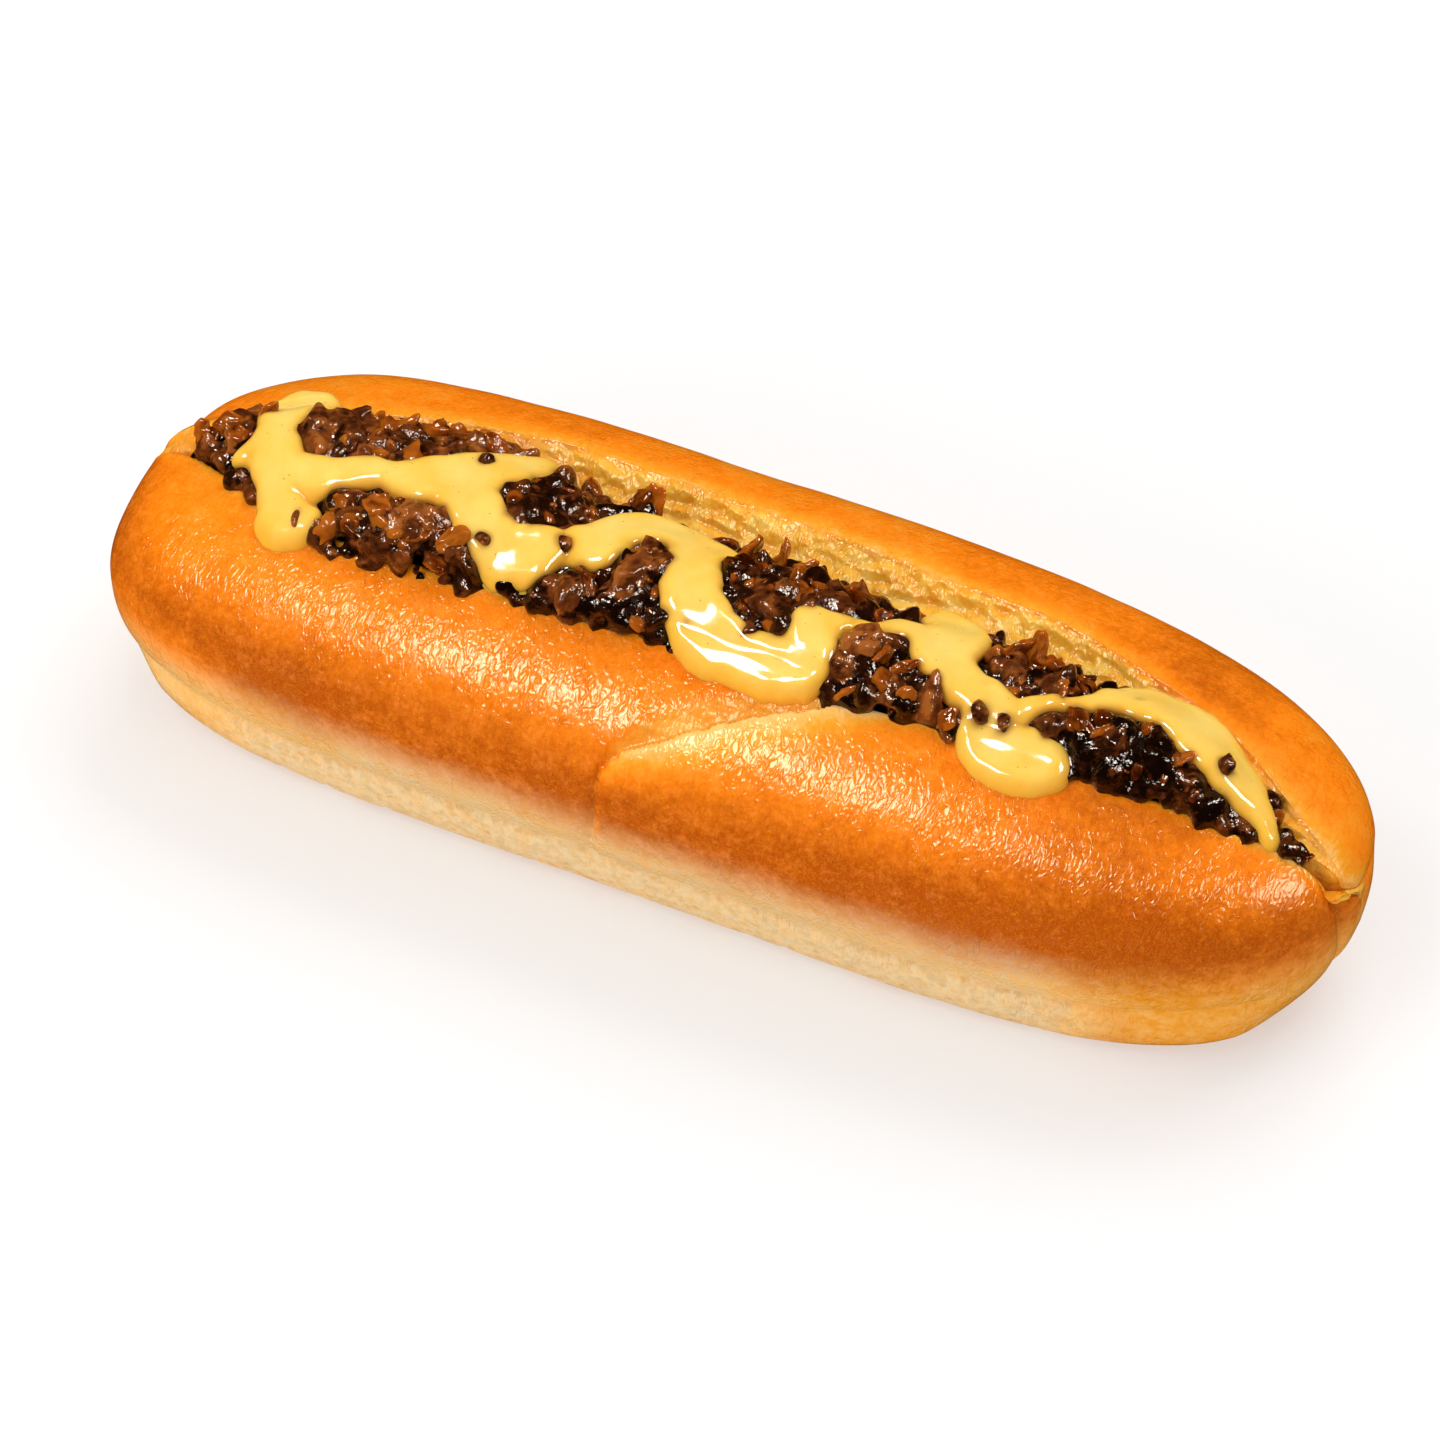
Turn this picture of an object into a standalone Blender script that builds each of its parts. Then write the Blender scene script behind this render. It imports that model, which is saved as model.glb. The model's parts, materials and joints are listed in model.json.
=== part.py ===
"""Cheesesteak sandwich: a soft long roll, slit along its top and filled with chopped beef and onion,
with a thick ribbon of cheese sauce folded back and forth over the filling and the near lip.

Metres, +Z up. X runs along the roll with its rounder end at +X, the near side is at -Y, and the
origin is on the floor under the middle of the roll."""

import math
import random

import bmesh
import bpy
from mathutils import Euler, Matrix, Vector

MM = 0.001

# The roll.
LENGTH = 210 * MM
WIDTH = 73.4 * MM
HEIGHT = 46.2 * MM
WIDEST = 26.8 * MM  # height of the roll's widest line
BOW = 2.3 * MM  # how far both ends swing to the near side
BLUNT_END = (4.2, 3.7)  # power and root of the width towards -X
ROUND_END = (3.3, 2.2)  # and towards +X
TOP_ROUNDING = (3.1, 3.1)
BASE_ROUNDING = (7.3, 2.8)
BASE_PLAY = 0.2 * MM  # the underside is flat where its curve would lift it by less than this
SHOULDER = 2.15  # exponent of the crust's arch over the widest line
# Below the widest line: (share of the way down, share of the half width), with the crease where
# the crust ends and the pale soft side begins.
LOWER_SIDE = (
    (0.14, 0.997), (0.30, 0.975), (0.44, 0.93), (0.53, 0.885), (0.60, 0.888), (0.78, 0.868),
    (0.93, 0.825), (1.00, 0.74),
)

TIP_START = 92 * MM  # from here to the tip the section turns fully round

# The slit: (x, near lip y, far lip y) in millimetres. It is open at -X and closes to a crack at +X.
SLIT = (
    (-105, -2.5, 2.5), (-97, -4.5, 7), (-85, -9.5, 13), (-70, -15, 15.5), (-40, -15.5, 17.5),
    (-10, -14, 17), (20, -14.5, 13), (50, -13, 10), (70, -12, 6.5), (85, -11, 0.5),
    (95, -10.3, -5.8), (105, -9.6, -8.6),
)
SLIT_FLOOR = 0.32  # height of the slit's bottom as a share of the roll's thickness
SLIT_SHARE = 0.62  # most of the half width that a lip may stand from the middle line

BLUNT_TUCK = 1.6 * MM  # how far the far lobe draws in at its end towards -X
TUCK_START = 74 * MM
TUCK_REACH = 24 * MM

# The split in the near crust, where the right-hand lobe has risen over the left-hand one.
SPLIT_TOP = Vector((21, -15.4)) * MM  # where it leaves the slit, in plan
SPLIT_LEAN = 1.44  # how far it runs back in x for each step outwards
SPLIT_LOW_X = -9 * MM  # where it goes straight down the side
SPLIT_DEPTH = 1.5 * MM
SPLIT_WIDTH = 2.6 * MM
LOBE_RISE = 1.1 * MM
LOBE_REACH = 34 * MM

# The filling.
HEAP_ENDS = (-100 * MM, 97 * MM)
HEAP_CROWN = 4 * MM  # rise of the heap over the lips
HEAP_EDGE = 1.5 * MM
HEAP_DROP = 6 * MM  # how much lower it meets the far wall
CORE_SINK = 2.1 * MM  # the core lies this far under the heap's even surface
CORE_INSET = 0.9 * MM
BIT_SPACING = 8 * MM
BIT_RADIUS = (2.6 * MM, 4.2 * MM)
COVERED = 0.75  # a piece whose middle is within this share of the sauce's half width is left out
# Onion slivers that stand out of the heap: (x, y, height over the heap, length, turn in degrees).
PROUD_ONIONS = (
    (-96, 1.5, 2.0, 9, 60), (-88, 5, 3.0, 8, 20), (-62, 7, 1.5, 9, -30), (-19, 13.5, 5.0, 9, 15),
    (-3, 8, 3.0, 10, 40), (4, 7, 2.5, 9, -10), (46, 8, 3.5, 9, 25), (18, -8, 1.5, 8, -50),
)
ONION_THICKNESS = 2.6 * MM

# The sauce: strokes of (x, y, half width) in millimetres, one after the other along the roll.
SAUCE = (
    ((-81, 13.5, 3), (-86, 11, 3.8), (-83, 3, 4.4), (-79, -3, 4.4), (-76, -8, 3.8),
     (-74.5, -12.5, 4.6), (-73, -15.5, 4.8), (-69, -16.5, 3)),
    ((-75, -9, 3.6), (-70, -7.5, 3.6), (-65, -4, 3.4), (-59, -3.8, 4.2), (-54, -1.5, 4.8),
     (-49.5, 2.5, 5.4), (-46.5, 8, 4.2), (-41, 10.5, 2.6)),
    ((-48, 3, 4.8), (-44, -3, 5), (-39.5, -7.5, 5.4), (-35, -10.5, 6), (-31, -12, 5.4),
     (-28.5, -8.5, 3.6), (-25.5, -6, 3)),
    ((-25.3, -8.5, 3), (-25, -5, 3.6), (-21, 0.5, 3.8), (-16.5, 3.8, 3.6), (-11.5, 4.2, 3.3),
     (-7, 3, 3.2), (-3, 3.6, 2.4)),
    ((-7, 2, 3), (-7.2, -3.2, 4.6), (-5.8, -7.5, 4.4), (-3, -11, 5), (1.5, -14, 5.4),
     (7, -15.2, 5.2), (12.5, -14.6, 5), (16.5, -12.5, 4.6), (15.5, -8.5, 4.6),
     (14, -5.5, 4.4), (18.5, -4.6, 2.8), (23, -3.8, 2.4), (27, -2, 3.2), (31, -0.8, 3.8)),
    ((32, -0.5, 3.8), (35.5, 0.8, 5.2), (36, -5.2, 5), (40.5, -8.2, 4.6), (45, -10.5, 3.8),
     (46.5, -13.5, 5), (51, -15.8, 6.2), (55.5, -15.2, 5.4), (57.5, -14, 3.4)),
    ((43, -8.5, 3.6), (49, -9.2, 2.6), (54, -6.6, 2.2), (58, -4, 2), (62, -1, 3), (66, 1.5, 4.4),
     (71.5, 1.5, 5.4), (78, -2.4, 5.2), (83, -5.6, 4.4), (87.3, -8, 3), (91, -9.4, 2)),
)
SAUCE_DEPTH = 2.4 * MM  # half height of the ribbon at its fullest
SAUCE_LIFT = 0.7 * MM
SAUCE_STEP = 1.6 * MM
SAUCE_VOXEL = 1.0 * MM
SAUCE_TRIANGLES = 1900

# How finely the solids are made.
STATIONS = 68
ARCH_POINTS = 7
BASE_POINTS = 3
WALL_POINTS = 4
HEAP_POINTS = 7
CORE_STATIONS = 40
GAP = 0.35 * MM  # air between neighbouring solids
SAUCE_GAP = 0.8 * MM  # and round the sauce, whose surface is thinned after it is made
SEED = 11

CRUST = ((0.62, 0.25, 0.045, 1), 0.32)
MEAT = ((0.075, 0.028, 0.014, 1), 0.3)
CHEESE = ((0.88, 0.56, 0.11, 1), 0.22)


def smooth(t):
    """0 to 1 with level ends."""
    t = min(max(t, 0.0), 1.0)
    return t * t * (3 - 2 * t)


def through(stations, x, column):
    """Value of one column of a table of stations at x, eased with a monotone cubic."""
    rows = [(row[0] * MM, row[column] * MM) for row in stations]
    x = min(max(x, rows[0][0]), rows[-1][0])
    spans = list(zip(rows, rows[1:]))
    slopes = [(b[1] - a[1]) / (b[0] - a[0]) for a, b in spans]
    index = next(i for i, (a, b) in enumerate(spans) if x <= b[0])
    (x0, y0), (x1, y1) = spans[index]

    def tangent(i):
        before, after = slopes[max(i - 1, 0)], slopes[min(i, len(slopes) - 1)]
        return 0.0 if before * after <= 0 else 2 * before * after / (before + after)

    step = x1 - x0
    t = (x - x0) / step
    return (
        (2 * t**3 - 3 * t**2 + 1) * y0
        + (t**3 - 2 * t**2 + t) * step * tangent(index)
        + (3 * t**2 - 2 * t**3) * y1
        + (t**3 - t**2) * step * tangent(index + 1)
    )


# ---------------------------------------------------------------- the roll

def fullness(x, power, root):
    """1 at the middle of the roll, falling to 0 at its tip."""
    u = min(abs(x) / (LENGTH / 2), 1.0)
    return (1 - u**power) ** (1 / root)


def half_width(x):
    return WIDTH / 2 * fullness(x, *(BLUNT_END if x < 0 else ROUND_END))


def middle(x):
    return -BOW * (x / (LENGTH / 2)) ** 2


def crown_height(x):
    return WIDEST + (HEIGHT - WIDEST) * fullness(x, *TOP_ROUNDING)


def base_height(x):
    """Height of the underside: flat on the floor along the middle, and rising to the tips."""
    return max(WIDEST * (1 - fullness(x, *BASE_ROUNDING)) - BASE_PLAY, 0.0)


def crust_height(x, y):
    """Height of the crust's upper side over a point of the plan."""
    share = min(abs(y - middle(x)) / max(half_width(x), MM), 1.0)
    return WIDEST + (crown_height(x) - WIDEST) * (1 - share**SHOULDER) ** (1 / SHOULDER)


def lips(x):
    """y of the near and far lip of the slit."""
    reach = SLIT_SHARE * half_width(x)
    near = max(through(SLIT, x, 1), middle(x) - reach)
    far = min(through(SLIT, x, 2), middle(x) + reach)
    return near, max(far, near + min(MM, 0.5 * reach))


def slit_bottom(x):
    low, high = base_height(x), crown_height(x)
    return Vector((sum(lips(x)) / 2, low + SLIT_FLOOR * (high - low)))


def relief(x, y, z):
    """How far the crust stands out or in: at the far lobe's end, and beside the near side's split."""
    if y > middle(x):
        end = smooth((-x - TUCK_START) / TUCK_REACH)
        return -BLUNT_TUCK * end * smooth((y - lips(x)[1]) / (6 * MM))
    if y > SPLIT_TOP.y + 2 * MM or z < 0.4 * WIDEST:
        return 0.0
    edge = max(SPLIT_TOP.x - SPLIT_LEAN * (SPLIT_TOP.y - y), SPLIT_LOW_X)
    past = x - edge
    groove = -SPLIT_DEPTH * math.exp(-((past + SPLIT_WIDTH / 2) / SPLIT_WIDTH) ** 2)
    lobe = LOBE_RISE * smooth(past / SPLIT_WIDTH) * (1 - smooth(past / LOBE_REACH))
    return (groove + lobe) * smooth((z / WIDEST - 0.4) / 0.3)


def arch(x, lip, side):
    """(y, z) points of the crust from a lip out to the widest line, on side -1 or +1."""
    wide, rise, centre = half_width(x), crown_height(x) - WIDEST, middle(x)
    share = side * (lip - centre) / wide
    start = math.acos(math.copysign(abs(share) ** (SHOULDER / 2), share))
    points = []
    for i in range(ARCH_POINTS + 1):
        angle = start * (1 - i / ARCH_POINTS)
        out = math.copysign(abs(math.cos(angle)) ** (2 / SHOULDER), math.cos(angle))
        up = abs(math.sin(angle)) ** (2 / SHOULDER)
        points.append(Vector((centre + side * wide * out, WIDEST + rise * up)))
    return points


def side_below(x, side):
    """(y, z) points from under the widest line to the edge of the flat base, rounder at the tips."""
    wide, drop = half_width(x), WIDEST - base_height(x)
    tip = smooth((abs(x) - TIP_START) / (LENGTH / 2 - TIP_START))
    points = []
    for down, out in LOWER_SIDE:
        rounded = max(0.3, (1 - down**2.4) ** (1 / 2.4))
        out += tip * (rounded - out)
        points.append(Vector((middle(x) + side * wide * out, WIDEST - drop * down)))
    return points


def slit_wall(x, lip):
    """(y, z) points down one torn wall of the slit, from its lip to its bottom."""
    top, bottom = Vector((lip, crust_height(x, lip))), slit_bottom(x)
    points = []
    for i in range(1, WALL_POINTS + 1):
        t = i / WALL_POINTS
        points.append(Vector((top.x + (bottom.x - top.x) * t**1.15, top.y + (bottom.y - top.y) * t)))
    return points


def roll_ring(x):
    """(y, z) points round the roll's section: near crust, base, far crust, and the slit's walls."""
    near, far = lips(x)
    near_side = arch(x, near, -1) + side_below(x, -1)
    far_side = arch(x, far, 1) + side_below(x, 1)
    left, right = near_side[-1], far_side[-1]
    base = [left.lerp(right, i / BASE_POINTS) for i in range(1, BASE_POINTS)]
    walls = slit_wall(x, far) + slit_wall(x, near)[-2::-1]
    return near_side + base + far_side[::-1] + walls


def grown(ring, by):
    """A closed ring moved outwards by a distance, along its own normals."""
    moved = []
    for before, here, after in zip(ring[-1:] + ring[:-1], ring, ring[1:] + ring[:1]):
        along = (after - before).normalized()
        moved.append(here + by * Vector((-along.y, along.x)) * -1)
    return moved


def roll_stations(count):
    """x of each section: evenly spaced along the outline in plan, and closer together by the split."""
    samples = []
    for i in range(2001):
        angle = math.pi * (i + 8) / 2016
        power = BLUNT_END[0] if angle < math.pi / 2 else ROUND_END[0]
        reach = LENGTH / 2 * abs(math.cos(angle)) ** (2 / power)
        samples.append(-math.copysign(reach, math.cos(angle)))
    travel = [0.0]
    for a, b in zip(samples, samples[1:]):
        weight = 2.2 if SPLIT_LOW_X - 3 * MM < a < SPLIT_TOP.x + 3 * MM else 1.0
        travel.append(travel[-1] + weight * math.hypot(b - a, half_width(b) - half_width(a)))
    stations, index = [], 0
    for i in range(count):
        target = travel[-1] * i / (count - 1)
        while index < len(travel) - 2 and travel[index + 1] < target:
            index += 1
        share = (target - travel[index]) / (travel[index + 1] - travel[index])
        stations.append(samples[index] + share * (samples[index + 1] - samples[index]))
    return stations


def roll_mesh(name, grow=0.0):
    rings = []
    for x in roll_stations(STATIONS):
        ring = roll_ring(x)
        outward = grown(ring, MM)
        for i, (point, out) in enumerate(zip(ring, outward)):
            ring[i] = point + (out - point) / MM * relief(x, *point)
        rings.append([(x, *p) for p in (grown(ring, grow) if grow else ring)])
    return loft(name, rings)


# ---------------------------------------------------------------- shared mesh tools

def link(name, bm):
    mesh = bpy.data.meshes.new(name)
    bm.to_mesh(mesh)
    bm.free()
    obj = bpy.data.objects.new(name, mesh)
    bpy.context.scene.collection.objects.link(obj)
    return obj


def loft(name, rings):
    """A closed skin over a row of equal rings, with a flat cap on each end."""
    bm = bmesh.new()
    rows = [[bm.verts.new(p) for p in ring] for ring in rings]
    for row, following in zip(rows, rows[1:]):
        for i in range(len(row)):
            j = (i + 1) % len(row)
            bm.faces.new((row[i], row[j], following[j], following[i]))
    bm.faces.new(rows[0])
    bm.faces.new(rows[-1][::-1])
    bmesh.ops.recalc_face_normals(bm, faces=bm.faces)
    bmesh.ops.triangulate(bm, faces=bm.faces)
    return link(name, bm)


def bake(obj):
    """Applies the object's modifiers to its mesh."""
    graph = bpy.context.evaluated_depsgraph_get()
    mesh = bpy.data.meshes.new_from_object(obj.evaluated_get(graph))
    obj.modifiers.clear()
    obj.data = mesh
    return obj


def combine(obj, others, operation):
    """Joins the others to the object, or cuts them away from it, and removes them."""
    collection = bpy.data.collections.new("operands")
    bpy.context.scene.collection.children.link(collection)
    for other in others:
        bpy.context.scene.collection.objects.unlink(other)
        collection.objects.link(other)
    boolean = obj.modifiers.new(operation.title(), "BOOLEAN")
    boolean.operand_type = "COLLECTION"
    boolean.collection = collection
    boolean.operation = operation
    boolean.solver = "MANIFOLD"
    bake(obj)
    for other in others:
        bpy.data.objects.remove(other)
    bpy.data.collections.remove(collection)
    return obj


def keep_largest(obj):
    """Drops the loose scraps that a cut leaves, and keeps the one main body."""
    bm = bmesh.new()
    bm.from_mesh(obj.data)
    todo, bodies = set(bm.verts), []
    while todo:
        body, edge = set(), [todo.pop()]
        while edge:
            vert = edge.pop()
            body.add(vert)
            for link_edge in vert.link_edges:
                other = link_edge.other_vert(vert)
                if other in todo:
                    todo.remove(other)
                    edge.append(other)
        bodies.append(body)
    main = max(bodies, key=len)
    bmesh.ops.delete(bm, geom=[v for v in bm.verts if v not in main], context="VERTS")
    bm.to_mesh(obj.data)
    bm.free()
    return obj


# ---------------------------------------------------------------- the filling

def heap_height(x, y):
    """Height of the heap's uneven top, as an even surface."""
    near, far = lips(x)
    t = min(max((y - near) / (far - near), 0.0), 1.0)
    room = smooth((far - near) / (22 * MM))
    drop = HEAP_DROP * smooth((x + 62 * MM) / (24 * MM)) * smooth((66 * MM - x) / (24 * MM))
    rim = crust_height(x, (near + far) / 2)
    return rim + room * (HEAP_EDGE * (1 - t) + HEAP_CROWN * math.sin(math.pi * t)) - drop * t**2


def core_ring(x):
    """(y, z) points round the filling's core, just inside the slit's walls."""
    near, far = lips(x)
    inset = min(CORE_INSET, 0.3 * (far - near))
    bottom = slit_bottom(x) + Vector((0, 2 * CORE_INSET))
    ring = []
    for i in range(HEAP_POINTS + 1):
        y = near + inset + (far - near - 2 * inset) * i / HEAP_POINTS
        ring.append(Vector((y, heap_height(x, y) - CORE_SINK)))
    return ring + [ring[-1].lerp(bottom, 0.5), bottom, ring[0].lerp(bottom, 0.5)]


def core_mesh():
    start, end = HEAP_ENDS
    rings = []
    for i in range(CORE_STATIONS + 1):
        x = start + (end - start) * i / CORE_STATIONS
        rings.append([(x, *p) for p in core_ring(x)])
    return loft("beef_and_onion_filling", rings)


def bit(draw, place, radius, stretch):
    """One chopped piece: a small knobbly block with flats, turned at random."""
    bm = bmesh.new()
    bmesh.ops.create_icosphere(bm, subdivisions=1, radius=1.0)
    for vert in bm.verts:
        vert.co *= draw.uniform(0.78, 1.15)
    turn = Euler([draw.uniform(0, math.tau) for _ in range(3)]).to_matrix().to_4x4()
    size = Matrix.Diagonal((radius * stretch, radius, radius * draw.uniform(0.65, 0.95), 1))
    bmesh.ops.transform(bm, matrix=Matrix.Translation(place) @ turn @ size, verts=bm.verts)
    return link("bit", bm)


def beef_bits(draw):
    """Pieces on a staggered grid over the heap, each moved a little from its place."""
    bits = []
    start, end = HEAP_ENDS
    columns = int((end - start) / BIT_SPACING)
    for column in range(columns + 1):
        x = start + BIT_SPACING * (column + 0.3)
        near, far = lips(x)
        rows = max(1, round((far - near) / BIT_SPACING))
        for row in range(rows):
            shift = 0.5 + 0.25 * (-1) ** column
            y = near + (far - near) * (row + shift) / rows + draw.uniform(-1, 1) * MM
            along = x + draw.uniform(-1.6, 1.6) * MM
            radius = draw.uniform(*BIT_RADIUS) * (0.6 + 0.4 * smooth((far - near) / (14 * MM)))
            height = heap_height(along, y) - 0.75 * radius + draw.uniform(-0.6, 0.9) * MM
            stretch = draw.uniform(1.0, 1.5)
            if not under_sauce(along, y):
                bits.append(bit(draw, Vector((along, y, height)), radius, stretch))
    return bits


def onion_sliver(x, y, rise, length, turn):
    """A short curved strip of onion standing out of the heap."""
    half = length * MM / 2
    corners = ((-1, -1), (1, -1), (1, 1), (-1, 1))
    rings = []
    for along in (-0.95, -0.5, 0, 0.5, 0.95):
        swell = math.sqrt(1 - along**2)
        bend, thick, tall = 0.25 * half * along**2, ONION_THICKNESS / 2 * swell, 0.5 * half * swell
        rings.append([(along * half, bend + a * thick, b * tall) for a, b in corners])
    sliver = loft("onion", rings)
    place = Vector((x * MM, y * MM, heap_height(x * MM, y * MM) + rise * MM - 0.5 * half))
    turned = Euler((math.radians(15), math.radians(-25), math.radians(turn))).to_matrix().to_4x4()
    sliver.data.transform(Matrix.Translation(place) @ turned)
    return sliver


def make_filling():
    draw = random.Random(SEED)
    filling = core_mesh()
    pieces = beef_bits(draw) + [onion_sliver(*row) for row in PROUD_ONIONS]
    combine(filling, pieces, "UNION")
    clearances = [roll_mesh("roll_clearance", GAP), sauce_blob("sauce_clearance", SAUCE_GAP)]
    combine(filling, clearances, "DIFFERENCE")
    return keep_largest(filling)


# ---------------------------------------------------------------- the sauce

def rest_height(x, y):
    """Height of what the sauce lies on."""
    near, far = lips(x)
    inside = smooth((y - near) / (3 * MM)) * smooth((far - y) / (3 * MM))
    return crust_height(x, y) * (1 - inside) + max(heap_height(x, y), 0) * inside


def stroke_points(stroke):
    """(x, y, half width) along a stroke, every SAUCE_STEP, on a smooth curve through its points."""
    knots = [Vector(p) * MM for p in stroke]
    knots = [knots[0] * 2 - knots[1], *knots, knots[-1] * 2 - knots[-2]]
    points = []
    for a, b, c, d in zip(knots, knots[1:], knots[2:], knots[3:]):
        steps = max(2, math.ceil((c - b).length / SAUCE_STEP))
        for i in range(steps):
            t = i / steps
            cubic = (2 * a - 5 * b + 4 * c - d) * t**2 + (3 * b - a - 3 * c + d) * t**3
            points.append(0.5 * (2 * b + (c - a) * t + cubic))
    return points + [knots[-2]]


def under_sauce(x, y):
    for stroke in SAUCE:
        for along, across, wide in stroke_points(stroke):
            if math.hypot(x - along, y - across) < COVERED * wide:
                return True
    return False


def sauce_blob(name, grow=0.0):
    """The whole ribbon: flattened balls along its strokes, fused and smoothed into one body."""
    bm = bmesh.new()
    for stroke in SAUCE:
        for x, y, wide in stroke_points(stroke):
            depth = SAUCE_DEPTH * min(1.0, 0.55 + 0.1 * wide / MM)
            place = Matrix.Translation((x, y, rest_height(x, y) + SAUCE_LIFT))
            size = Matrix.Diagonal((wide + grow, wide + grow, depth + grow, 1))
            bmesh.ops.create_icosphere(bm, subdivisions=2, radius=1.0, matrix=place @ size)
    blob = link(name, bm)
    remesh = blob.modifiers.new("Fuse", "REMESH")
    remesh.mode = "VOXEL"
    remesh.voxel_size = SAUCE_VOXEL
    settle = blob.modifiers.new("Settle", "SMOOTH")
    settle.factor = 0.5
    settle.iterations = 4
    bake(blob)
    thin = blob.modifiers.new("Thin", "DECIMATE")
    thin.ratio = SAUCE_TRIANGLES / sum(len(p.vertices) - 2 for p in blob.data.polygons)
    return keep_largest(bake(blob))


def make_sauce():
    sauce = sauce_blob("cheese_sauce")
    combine(sauce, [roll_mesh("roll_clearance", GAP)], "DIFFERENCE")
    return keep_largest(sauce)


# ---------------------------------------------------------------- finish

def paint(obj, name, look):
    colour, roughness = look
    material = bpy.data.materials.new(name)
    material.use_nodes = True
    shader = material.node_tree.nodes["Principled BSDF"]
    shader.inputs["Base Color"].default_value = colour
    shader.inputs["Roughness"].default_value = roughness
    obj.data.materials.clear()
    obj.data.materials.append(material)


def main():
    for obj in list(bpy.data.objects):
        bpy.data.objects.remove(obj)
    roll = roll_mesh("roll")
    filling = make_filling()
    sauce = make_sauce()
    paint(roll, "crust", CRUST)
    paint(filling, "beef_and_onion", MEAT)
    paint(sauce, "cheese", CHEESE)
    for obj in (roll, sauce):
        obj.data.shade_smooth()
        obj.data.set_sharp_from_angle(angle=math.radians(40))


main()
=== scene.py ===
"""Looks of the cheesesteak sandwich: baked roll, beef and onion filling, cheese sauce.

Metres, +Z up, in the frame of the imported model. X runs along the roll, its near side is at -Y.
"""

import json
import math
import random

import bmesh
import bpy
import numpy as np
from bpy.props import FloatProperty, FloatVectorProperty, IntProperty, PointerProperty
from mathutils import Euler, Matrix, Vector, noise
from mathutils.bvhtree import BVHTree
from mathutils.kdtree import KDTree

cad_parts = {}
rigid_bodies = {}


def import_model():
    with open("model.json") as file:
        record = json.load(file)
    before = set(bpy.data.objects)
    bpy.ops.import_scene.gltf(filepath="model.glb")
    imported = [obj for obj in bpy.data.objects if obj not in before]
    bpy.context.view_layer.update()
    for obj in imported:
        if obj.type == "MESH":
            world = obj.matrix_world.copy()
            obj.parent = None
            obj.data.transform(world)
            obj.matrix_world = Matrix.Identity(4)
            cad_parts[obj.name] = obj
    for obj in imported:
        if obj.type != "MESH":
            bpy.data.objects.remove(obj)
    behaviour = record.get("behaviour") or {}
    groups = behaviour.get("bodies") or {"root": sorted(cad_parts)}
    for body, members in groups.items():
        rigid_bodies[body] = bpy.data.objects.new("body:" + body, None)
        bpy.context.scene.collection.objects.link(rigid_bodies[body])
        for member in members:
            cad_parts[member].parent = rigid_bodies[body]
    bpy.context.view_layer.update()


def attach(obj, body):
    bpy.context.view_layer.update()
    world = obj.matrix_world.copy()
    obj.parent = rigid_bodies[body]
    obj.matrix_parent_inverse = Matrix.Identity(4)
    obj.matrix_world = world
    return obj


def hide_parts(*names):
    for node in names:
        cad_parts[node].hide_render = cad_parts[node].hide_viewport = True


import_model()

bl_info = {
    "name": "Cheesesteak sandwich",
    "version": (1, 0, 0),
    "blender": (4, 5, 0),
    "location": "View3D > Sidebar > Sandwich",
    "description": "Makes a filled roll with cheese sauce, and its stage",
    "category": "Add Mesh",
}

MM = 0.001

# The roll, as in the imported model.
LENGTH = 210 * MM
WIDTH = 73.4 * MM
HEIGHT = 46.2 * MM
WIDEST = 26.8 * MM  # height of the roll's widest line
BOW = 2.3 * MM
BLUNT_END = (4.2, 3.7)
ROUND_END = (3.3, 2.2)
TOP_ROUNDING = (3.1, 3.1)
BASE_ROUNDING = (7.3, 2.8)
BASE_PLAY = 0.2 * MM
SHOULDER = 2.15
LOWER_SIDE = (
    (0.0, 1.0), (0.14, 0.997), (0.30, 0.975), (0.44, 0.932), (0.53, 0.888), (0.60, 0.884),
    (0.70, 0.879), (0.78, 0.868), (0.93, 0.825), (1.00, 0.74),
)
TIP_START = 92 * MM
SLIT = (
    (-105, -2.5, 1.5), (-97, -4.5, 3.5), (-85, -9.5, 9), (-70, -15, 13.5), (-60, -15.3, 15.8),
    (-50, -15.5, 17.8), (-40, -15.5, 19.5), (-10, -14, 18.8), (20, -14.5, 17), (45, -13.2, 16),
    (60, -12.5, 12.5), (70, -12, 9.5), (80, -11.3, 5.5), (90, -10.6, -0.5), (97, -10.2, -4.5),
    (105, -9.6, -8.2),
)
SLIT_FLOOR = 0.32
SLIT_END = 94 * MM  # the slit runs out into a notch beyond this
SLIT_SHARE = 0.62
BLUNT_TUCK = 1.6 * MM
TUCK_START = 74 * MM
TUCK_REACH = 24 * MM

# The crease above the pale strip, as a share of the way down from the widest line to the base.
CREASE = 0.545
CREASE_DEPTH = 0.9 * MM
STRIP_ENDS = (-74 * MM, 66 * MM)

# The split in the near crust: (x, unrolled distance from the slit side, width of the torn band).
SPLIT = (
    (27, -12.5, 1.5), (24, -14.7, 2.0), (17.4, -18.4, 2.8), (11.9, -21.1, 3.8), (4, -25.9, 5.0),
    (-3.4, -30.2, 3.8), (-7.1, -32, 1.4), (-8.8, -34.3, 0.6), (-9.4, -36.4, 0.4),
    (-9.6, -40, 0.3), (-10, -44, 0.3), (-12, -54, 0.3),
)
LOBE_RISE = 1.2 * MM
LOBE_REACH = 34 * MM

# Creases in the round end, each a line of (x, y, z).
END_CREASES = (
    ((100.5, -9.2, 37), (103, -9.8, 31.5), (104.5, -8.7, 26), (104.6, -7.2, 18), (101, -6.6, 10)),
    ((103, -9.8, 31.5), (104.8, -4.5, 28.8), (105, 0, 28), (104, 6, 27)),
)

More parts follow.
